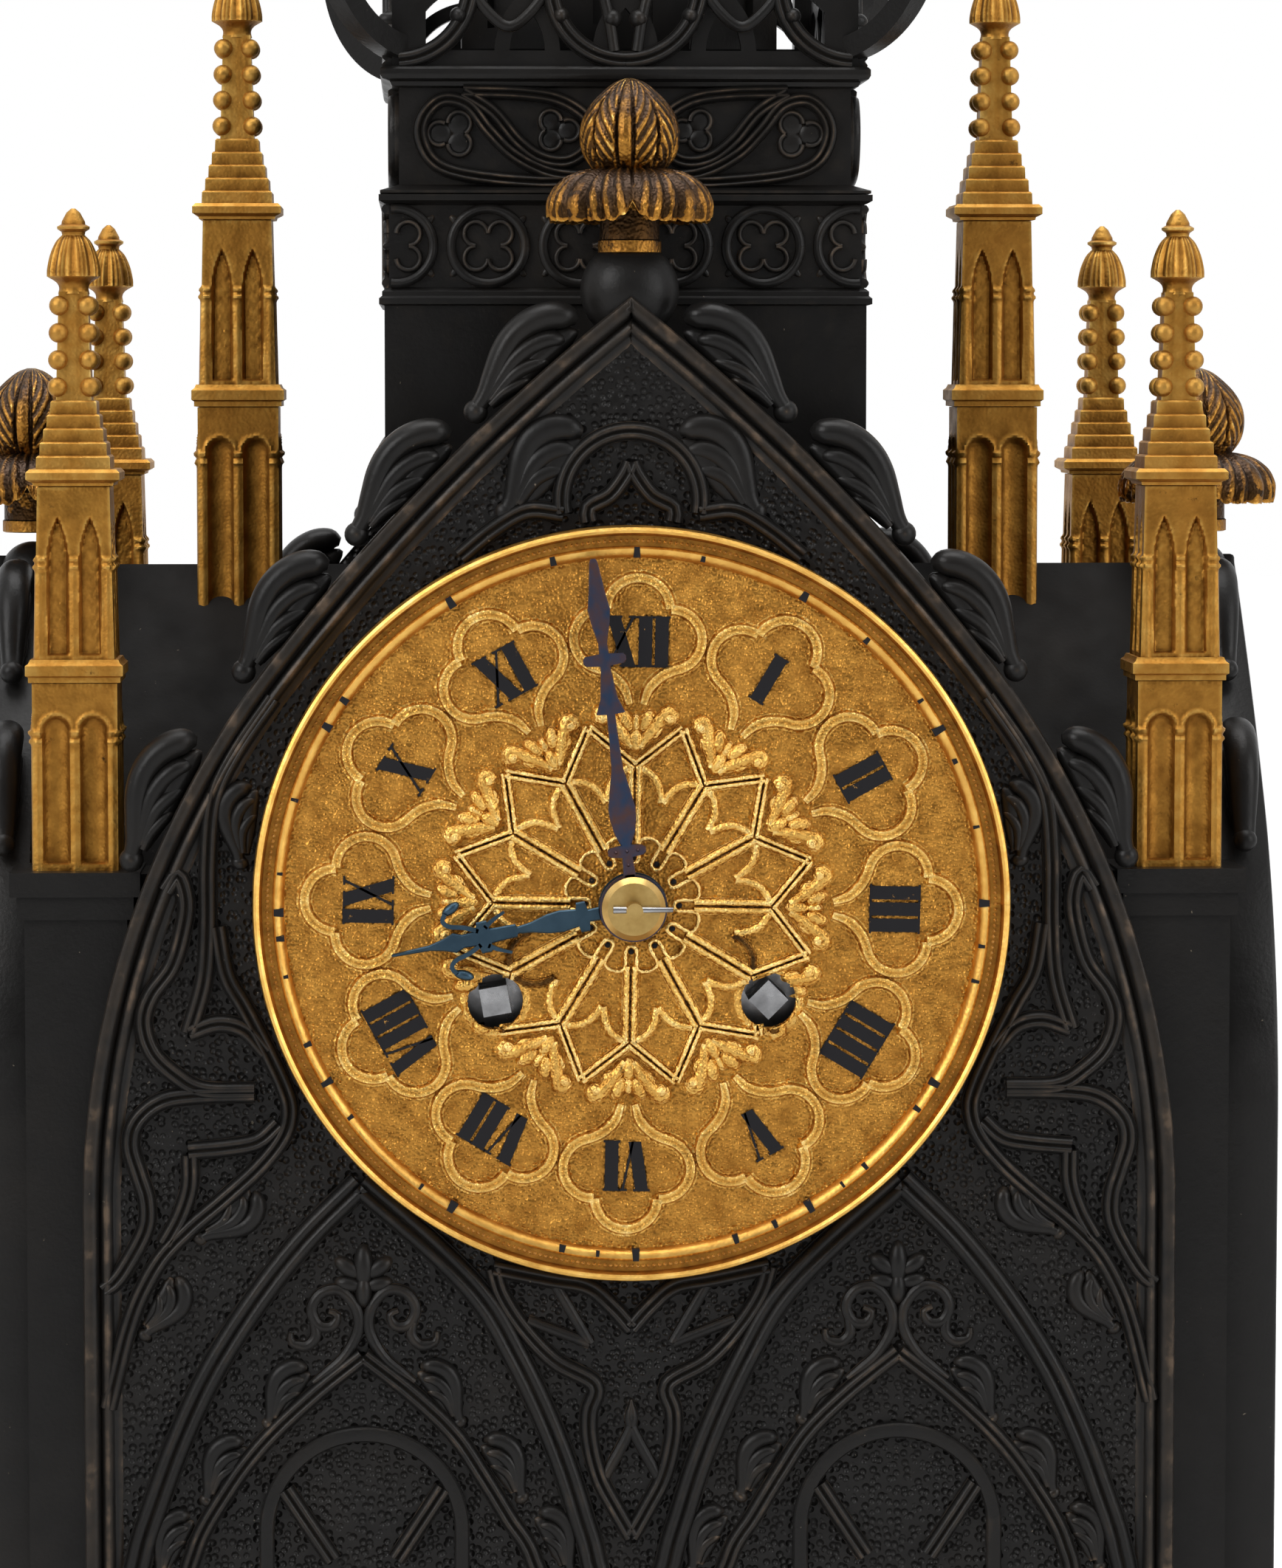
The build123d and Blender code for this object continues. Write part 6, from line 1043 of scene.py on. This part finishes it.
def bud():
    """Four closed leaves, each with a smooth midrib and feathered sides, parted by deep slots."""
    p = np.linspace(0, 1, 72)
    curve = smooth_line(BUD_CURVE, 0.02)
    radius = np.interp(p, curve[:, 0], curve[:, 1])
    profile = np.column_stack([radius, BUD_FOOT + (BUD_TOP - BUD_FOOT) * p])

    def leaves(angle, z):
        q = np.abs(from_middle(angle + BUD_TURN, 4))
        s = (z - BUD_FOOT) / (BUD_TOP - BUD_FOOT)
        midrib = 0.045 * band(q, 0, 0.15) - 0.075 * band(q, 0.24, 0.05) - 0.17 * q ** 22
        veins = 0.020 * np.cos(TURN * (5.5 * s - 3.4 * q)) * (q > 0.32) * (q < 0.92) * (s > 0.1)
        return 1 + (midrib + veins) * np.clip(s / 0.12, 0.15, 1)

    return lathe(profile, 208, leaves)


def finial():
    return [lathe(dense(COLLAR_PROFILE)), skirt(), bud()]


front_finial = each(shifted, finial(), *FRONT_BALL)
right_finial = each(shifted, finial(), *SIDE_FINIAL)
outer_finials = each(turned, front_finial, 180) + right_finial + each(turned, right_finial, 180)
spire_finial = each(shifted, finial(), 0, 0, SPIRE_BALL_Z)
for name, shapes, node in (("finial_front", front_finial, "front_gable_finial"),
                           ("finials_outer", outer_finials, "outer_gable_finials"),
                           ("finial_spire", spire_finial, "spire_finial")):
    piece(name, shapes, SOOTY_SHADED_GILT, [node], reach=0.5)

# Pinnacles: two arcaded stages, a stepped roof, a beaded shaft and a leafy cap
LOW_TOP, HIGH_FOOT, HIGH_TOP, ROOF_FOOT = 27.4, 30.9, 56.0, 58.6
SHAFT_FOOT, SHAFT_TOP, CAP_FOOT, CAP_TOP = 68.6, 84.4, 86.6, 92.6
LOW_HALF, HIGH_HALF, HIGH_HALF_TOP, CROWN_HALF, ROOF_HALF, SHAFT_HALF = 6.2, 5.8, 5.25, 5.3, 5.4, 2.6
KNOBS = dict(rows=4, radius=1.45, reach=2.35, foot=1.9, pitch=3.95)
CORNICE = [
    (-0.6, 0), (0.5, 0.15), (0.5, 0.9), (0.9, 1.15), (0.9, 2.6), (0.45, 2.95), (0.2, 3.5), (-1, 3.5)]
CROWN = [(-0.6, 0), (0.5, 0.2), (0.6, 0.6), (1.2, 0.9), (1.5, 1.1), (1.5, 2.1), (1, 2.6), (-0.4, 2.6)]
SHAFT = [(0, -0.4), (-0.5, SHAFT_TOP - SHAFT_FOOT)]
NECK = [(2.3, -0.3), (2.15, 0.6), (2.6, 1.4), (3.9, CAP_FOOT - SHAFT_TOP)]
CAP = [(3.9, 0), (3.85, 1.2), (3.4, 3.2), (2.6, 5.0), (1.7, CAP_TOP - CAP_FOOT)]
KNOP = [(1.6, -0.2), (1.75, 0.5), (2.35, 0.9), (2.4, 1.25), (1.75, 1.6), (1.7, 2), (1, 3.3), (0.3, 3.9)]


def faced(low, high, half_low, half_high, depth, nu=44, nv=90):
    """Square stage with the same relief, depth(across, up), on its four faces."""
    u = np.linspace(-1, 1, nu)
    v = np.linspace(0, high - low, nv)[:, None]
    half = half_low + (half_high - half_low) * v / (high - low)
    x = half * u
    rise = depth(x, np.broadcast_to(v, x.shape)) * (np.abs(u) < 0.999)
    face = np.stack([x, -(half + rise), np.broadcast_to(low + v, x.shape)], -1).reshape(-1, 3)
    sides = [turned(made(face, grid_quads(nv, nu)), 90 * k) for k in range(4)]
    ring = np.vstack([s[0][:nu] for s in sides])
    lid = np.vstack([s[0][-nu:] for s in sides])
    caps = [made(ring, [], fan(reversed(range(4 * nu)))), made(lid, [], fan(range(4 * nu)))]
    return join(sides + caps)


def flutes(x, v, foot):
    """Low stage: two round-headed flutes between colonnettes with ringed caps."""
    centre, half, spring, depth = 2.7, 1.95, 20.6, 1.25
    v = v - foot
    far = np.where(v > spring, np.hypot(np.abs(x) - centre, v - spring), np.abs(np.abs(x) - centre))
    sunk = -depth * np.sqrt(np.clip(1 - (far / half) ** 2, 0, 1)) * (v > 1.2 - 2 * foot)
    arch = 0.28 * band(far, half + 0.45, 0.24) * (v > spring - 1)
    shaft = np.minimum(np.abs(x), np.abs(np.abs(x) - 5.4))
    caps = 0.4 * (shaft < 0.75) * (band(v, 18.9, 0.36) + band(v, 20.2, 0.36))
    post = 0.22 * band(shaft, 0, 0.4) * (v < spring)
    return sunk + arch + caps + post


def lancets(x, v):
    """High stage: two pointed lancets with a stippled ground, ringed a little over half way up."""
    centre, half, spring, tall = 2.35, 1.55, 14.6, 6.2
    taper = np.clip(1 - ((v - spring) / tall) ** 2, 0, 1)
    edge = half * np.where(v > spring, taper, 1.0)
    inside = np.clip((edge - np.abs(np.abs(x) - centre)) / 0.3, 0, 1) * (v > 0.8) * (v < spring + tall)
    grit = 0.10 * np.sin(x * 7.3 + 2.1 * np.sin(v * 3.1)) * np.sin(v * 6.1 + 1.7 * np.sin(x * 4.3))
    shaft = np.minimum(np.abs(x), np.abs(np.abs(x) - 4.95))
    caps = 0.4 * (shaft < 0.8) * (band(v, 13.4, 0.34) + band(v, 14.6, 0.34))
    post = 0.2 * band(shaft, 0, 0.4) * (v < spring)
    return inside * (grit - 0.85) + caps + post


def stepped_roof(steps=5, tread=0.5, riser=2.0):
    profile = []
    for k in range(steps):
        profile += [(-tread * k + a, riser * k + b) for a, b in ((0, 0), (-0.06, 1.7), (-0.3, 1.95))]
    return profile + [(-4.0, riser * steps)]


def pinnacle(foot):
    """Pinnacle whose low stage goes on for the foot's length below its seat."""
    def leaves(angle, height):
        fold = np.abs(from_middle(angle, 8))
        return 1 - 0.10 * fold ** 4 + 0.02 * np.cos(4 * math.pi * fold)

    shapes = [
        faced(-foot, LOW_TOP, LOW_HALF, LOW_HALF, lambda x, v: flutes(x, v, foot)),
        faced(HIGH_FOOT, HIGH_TOP, HIGH_HALF, HIGH_HALF_TOP, lancets)]
    stacks = (
        (CORNICE, LOW_HALF, 1.0, LOW_TOP), (CROWN, CROWN_HALF, 1.0, HIGH_TOP),
        (stepped_roof(), ROOF_HALF, 1.0, ROOF_FOOT), (SHAFT, SHAFT_HALF, 0.7, SHAFT_FOOT))
    shapes += [shifted(square_stack(*stack), 0, 0, level) for *stack, level in stacks]
    for row in range(KNOBS["rows"]):
        reach, z = KNOBS["reach"] - 0.1 * row, SHAFT_FOOT + KNOBS["foot"] + KNOBS["pitch"] * row
        for cx, cy in ((1, 1), (1, -1), (-1, 1), (-1, -1)):
            shapes.append(ball(cx * reach, cy * reach, z, KNOBS["radius"], 18, 12))
    neck = np.vstack([smooth_line(NECK, 0.25), [(3.5, CAP_FOOT - SHAFT_TOP + 0.2)]])
    cap = np.vstack([[(3.0, -0.1)], smooth_line(CAP, 0.25)])
    shapes.append(shifted(lathe(neck, 48), 0, 0, SHAFT_TOP))
    shapes.append(shifted(lathe(cap, 128, leaves), 0, 0, CAP_FOOT))
    shapes.append(shifted(lathe(dense(KNOP, 0.2), 40), 0, 0, CAP_TOP))
    return shapes


RIDGE_FOOT = 7.4
CORNER_PLACE = (81.0, 43.5, 190.4)
RIDGE_PLACE = (58.5, 0.0, 230.3)
PINNACLES = (
    ("front_left", -1, -1), ("front_right", 1, -1), ("rear_left", -1, 1), ("rear_right", 1, 1),
    ("ridge_left", -1, 0), ("ridge_right", 1, 0))
for place, across, back in PINNACLES:
    x, y, z = CORNER_PLACE if back else RIDGE_PLACE
    shapes = pinnacle(0.0 if back else RIDGE_FOOT)
    piece("pinnacle_body_" + place, each(shifted, shapes, across * x, back * y, z), DULL_GILT,
          ["pinnacle_" + place], reach=0.45)

# Tower: plain shaft, band of quatrefoil roundels, scroll frieze
TOWER_HALF = 35.75
ROUNDEL_PITCH = 13.6
ROUNDEL_Z = 281.7
ROUNDEL_RADIUS = 5.5
ROUNDEL_SINK = 0.7
FOIL_REACH = 2.55
FOIL_RADIUS = 1.75
FOIL_RIB = beads(1, 0.9, 0.9)
FRIEZE_HALF = 33.5
FRIEZE_Z = 297.9
SHAFT_PROFILE = [
    (-0.2, 236), (0, 236.2), (0, 272.9), (0.8, 273.15), (0.8, 274), (0.35, 274.35), (0.35, 275),
    (-0.1, 275.4), (-0.7, 275.6), (-0.7, 287.7), (0.1, 288), (0.8, 288.4), (0.8, 289.3), (-4, 289.4)]
FRIEZE_PROFILE = [
    (-4, 289.4), (0.6, 289.5), (0.6, 289.9), (-2.2, 290.8), (-2.25, 305), (-1.2, 305.3), (-0.9, 305.9),
    (0.2, 306.3), (0.5, 306.8), (0.5, 307.7), (0.1, 308.1), (-4, 308.1)]


def roundel(x, start=0, end=360):
    """Ring, or part of one at a corner, with a quatrefoil of round lobes on the diagonals."""
    shapes = [sweep(arc_line((x, 0), ROUNDEL_RADIUS, start, end, 0.6), beads(1, 1.5, 1.1))]
    for turn in (45, 135, 225, 315):
        a = math.radians(turn)
        if start < turn < end:
            middle = (x + FOIL_REACH * math.cos(a), FOIL_REACH * math.sin(a))
            shapes.append(sweep(arc_line(middle, FOIL_RADIUS, turn - 132, turn + 132, 0.4), FOIL_RIB))
            shapes.append(blob(x + 6.8 * math.cos(a), 5.2 * math.sin(a), 1.1, 0.6, 0.45, turn))
    return shapes


def tower_face():
    shapes = []
    for k in (-1, 0, 1, 2):
        shapes += roundel(ROUNDEL_PITCH * (k - 0.5))
    shapes += both_sides(roundel(ROUNDEL_PITCH * 2.5, 82, 278))
    return each(on_front, shapes, ROUNDEL_SINK - TOWER_HALF, ROUNDEL_Z)


MOUCHETTE_LOW = [
    (-5.1, -6.1), (-11.3, -5.3), (-16.5, -2.7), (-20.2, 0.9), (-23.3, 4.6), (-27, 5.4), (-29.6, 3.2),
    (-30.3, 0), (-28.4, -3.7), (-23.8, -5.6), (-13.4, -6.7), (-5.1, -6.4)]
MOUCHETTE_HIGH = [
    (-24, 6.5), (-19.6, 3.6), (-16, -0.6), (-12.4, -3.2), (-8.4, -3.6), (-5.4, -1.2), (-5.3, 2.2),
    (-9.3, 5.2), (-15, 6.3), (-24, 6.6)]


def trefoil(u, v, size, turn):
    """Three round lobes with a boss in each."""
    shapes = []
    for toward in (turn, turn + 120, turn + 240):
        a = math.radians(toward)
        middle = (u + size * 0.85 * math.cos(a), v + size * 0.75 * math.sin(a))
        lobe = arc_line(middle, size * 0.75, toward - 118, toward + 118, 0.4)
        shapes += [sweep(lobe, FOIL_RIB), blob(*middle, size * 0.8, size * 0.8, 0.55)]
    return shapes


def frieze_face():
    half = [rib(p, beads(2, 2.3, 1.7), 0.6) for p in (MOUCHETTE_LOW, MOUCHETTE_HIGH)]
    half += trefoil(-25.6, 0.4, 2.3, 180) + trefoil(-10.2, 0.9, 2.1, 0)
    return each(on_front, both_sides(half), -FRIEZE_HALF, FRIEZE_Z)


def all_faces(shapes):
    return [turned(s, 90 * k) for s in shapes for k in range(4)]


for name, profile, relief, node in (("tower_walls", SHAFT_PROFILE, tower_face(), "tower_shaft"),
                                    ("tower_frieze", FRIEZE_PROFILE, frieze_face(), "tower_scroll_frieze")):
    shapes = [square_stack(profile, TOWER_HALF, 2.0)] + all_faces(relief)
    piece(name, shapes, PATINA, [node], reach=FINE_REACH)


# Gallery: hanging arcs on the front of the pierced wall, with knobs and paired pendants
GALLERY_HALF = 34.5
ARC_Z = 320.0
ARC_RADIUS = 11.0


def gallery_face():
    half = [
        sweep(arc_line((0, ARC_Z), ARC_RADIUS, 270, 360), DOUBLE_RIB),
        sweep(arc_line((GALLERY_HALF - 0.6, ARC_Z), ARC_RADIUS, 180, 268), DOUBLE_RIB),
        rib([(1.7, ARC_Z - 9.6), (2.4, ARC_Z - 5), (3.6, ARC_Z)], SINGLE_RIB),
        rib([(ARC_RADIUS, ARC_Z), (14.4, ARC_Z - 4.2), (17.2, ARC_Z - 6.0), (20.0, ARC_Z - 4.2),
             (GALLERY_HALF - ARC_RADIUS, ARC_Z)], SINGLE_RIB),
        blob(1.9, ARC_Z - 4.8, 1.4, 1.4, 1.8)]
    half += [blob(x, ARC_Z - 4.4, 1.3, 1.3, 2.2) for x in (9.6, GALLERY_HALF - 9.8)]
    return each(on_front, both_sides(half), -GALLERY_HALF)


piece("gallery_arcs", all_faces(gallery_face()), PATINA, reach=FINE_REACH)


# Side walls
SIDE_RIM_SINK = 5.9
SIDE_STEP = 1.1
SIDE_ARCHES = ((34, 130, 190, TRIPLE_RIB), (27, 126, 176, DOUBLE_RIB))


def side_relief():
    section = [(RIM_SECTION[0][0], -SIDE_RIM_SINK)] + RIM_SECTION[1:]
    shapes = both_sides([rim(SIDE_EDGE, section)])
    for half, spring, apex, moulding in SIDE_ARCHES:
        shapes += [sweep(line, moulding) for line in pointed(0, half, PLINTH_TOP_Z + 0.5, spring, apex)]
    shapes = [turned(on_front(s, -SIDE_FIELD_X), 90) for s in shapes]
    return shapes + [ball(*SIDE_BALL, SIDE_BALL_RADIUS, 48, 28)]


side_ground = turned(on_front(wall_ground(SIDE_EDGE, SIDE_STEP, None, SIDE_THICK), -SIDE_FIELD_X), 90)
wall_pieces(("right", "left"), "side_wall", (
    ("ground", [side_ground], HAMMERED), ("tracery", side_relief(), PATINA)))

# Camera: the photograph's viewpoint, for an image of 1736 by 2124 pixels
IMAGE_TALL = 2124
FOCAL_PIXELS = 7142
CAMERA_PLACE = (-0.03009, -0.820, 0.263)
CAMERA_PITCH = -4.46
CAMERA_YAW = -2.36
camera = bpy.data.cameras.new("camera")
camera.sensor_width = 36.0
camera.lens = FOCAL_PIXELS / IMAGE_TALL * camera.sensor_width
camera.clip_start = 0.01
viewer = bpy.data.objects.new("camera", camera)
viewer.location = CAMERA_PLACE
viewer.rotation_euler = Euler((math.radians(90 + CAMERA_PITCH), 0, math.radians(CAMERA_YAW)), "XYZ")
bpy.context.scene.collection.objects.link(viewer)
bpy.context.scene.camera = viewer


# Stage: pale floor, white background, soft lamps
LAMPS = (
    ("key", (-1.3, -1.2, 1.1), (1.0, 1.2), 22), ("fill", (1.4, -1.0, 0.7), (0.9, 1.2), 12),
    ("top", (0, -0.1, 1.6), (1.2, 0.9), 14))
LAMP_AIM = Vector((0, 0, 0.2))
FLOOR_GLOW = 0.55
FLOOR_REACH = 6


def lamp(name, place, size, power):
    light = bpy.data.lights.new(name, "AREA")
    light.shape = "RECTANGLE"
    light.size, light.size_y = size
    light.energy = power
    obj = bpy.data.objects.new(name, light)
    obj.location = place
    obj.rotation_euler = (LAMP_AIM - Vector(place)).to_track_quat("-Z", "Y").to_euler()
    bpy.context.scene.collection.objects.link(obj)


def background():
    """White to the eye and behind the object; dimmer behind the viewer, as in a studio."""
    world = bpy.data.worlds.new("studio")
    bpy.context.scene.world = world
    t = Shading(world, "Generated")
    direction = t.node("SeparateXYZ", {"Vector": t.where}).outputs
    depth = t.remap(direction["Y"], -0.7, 0.5, 0.16, 1.0)
    height = t.remap(direction["Z"], 0.2, 0.9, 0.0, 0.5)
    level = t.combine("MINIMUM", t.combine("ADD", depth, height), 1.0)
    path = t.node("LightPath").outputs
    seen = t.combine("MAXIMUM", path["Is Camera Ray"], path["Is Transmission Ray"])
    plain = t.mix(path["Is Glossy Ray"], (0.5, 0.5, 0.5), level)
    t.feed(t.nodes["Background"].inputs["Color"], t.mix(seen, plain, (1.0, 1.0, 1.0)))


def floor_material():
    mat, t = new_material("pale_floor")
    camera_ray = t.node("LightPath").outputs["Is Camera Ray"]
    t.shade({
        "Base Color": t.ramp(t.noise(3, 2.0), [(0.3, (0.80, 0.80, 0.80)), (0.7, (0.84, 0.84, 0.84))]),
        "Roughness": 0.8, "Emission Color": (1.0, 1.0, 1.0),
        "Emission Strength": t.combine("MULTIPLY", camera_ray, FLOOR_GLOW)})
    return mat


for row in LAMPS:
    lamp(*row)
background()
bpy.context.scene.view_settings.view_transform = "Standard"

floor_mesh = bpy.data.meshes.new("floor")
corners = [(FLOOR_REACH * x, FLOOR_REACH * y, 0) for x, y in ((-1, -1), (1, -1), (1, 1), (-1, 1))]
floor_mesh.from_pydata(corners, [], [(0, 1, 2, 3)])
floor = bpy.data.objects.new("floor", floor_mesh)
bpy.context.scene.collection.objects.link(floor)
floor_mesh.materials.append(floor_material())
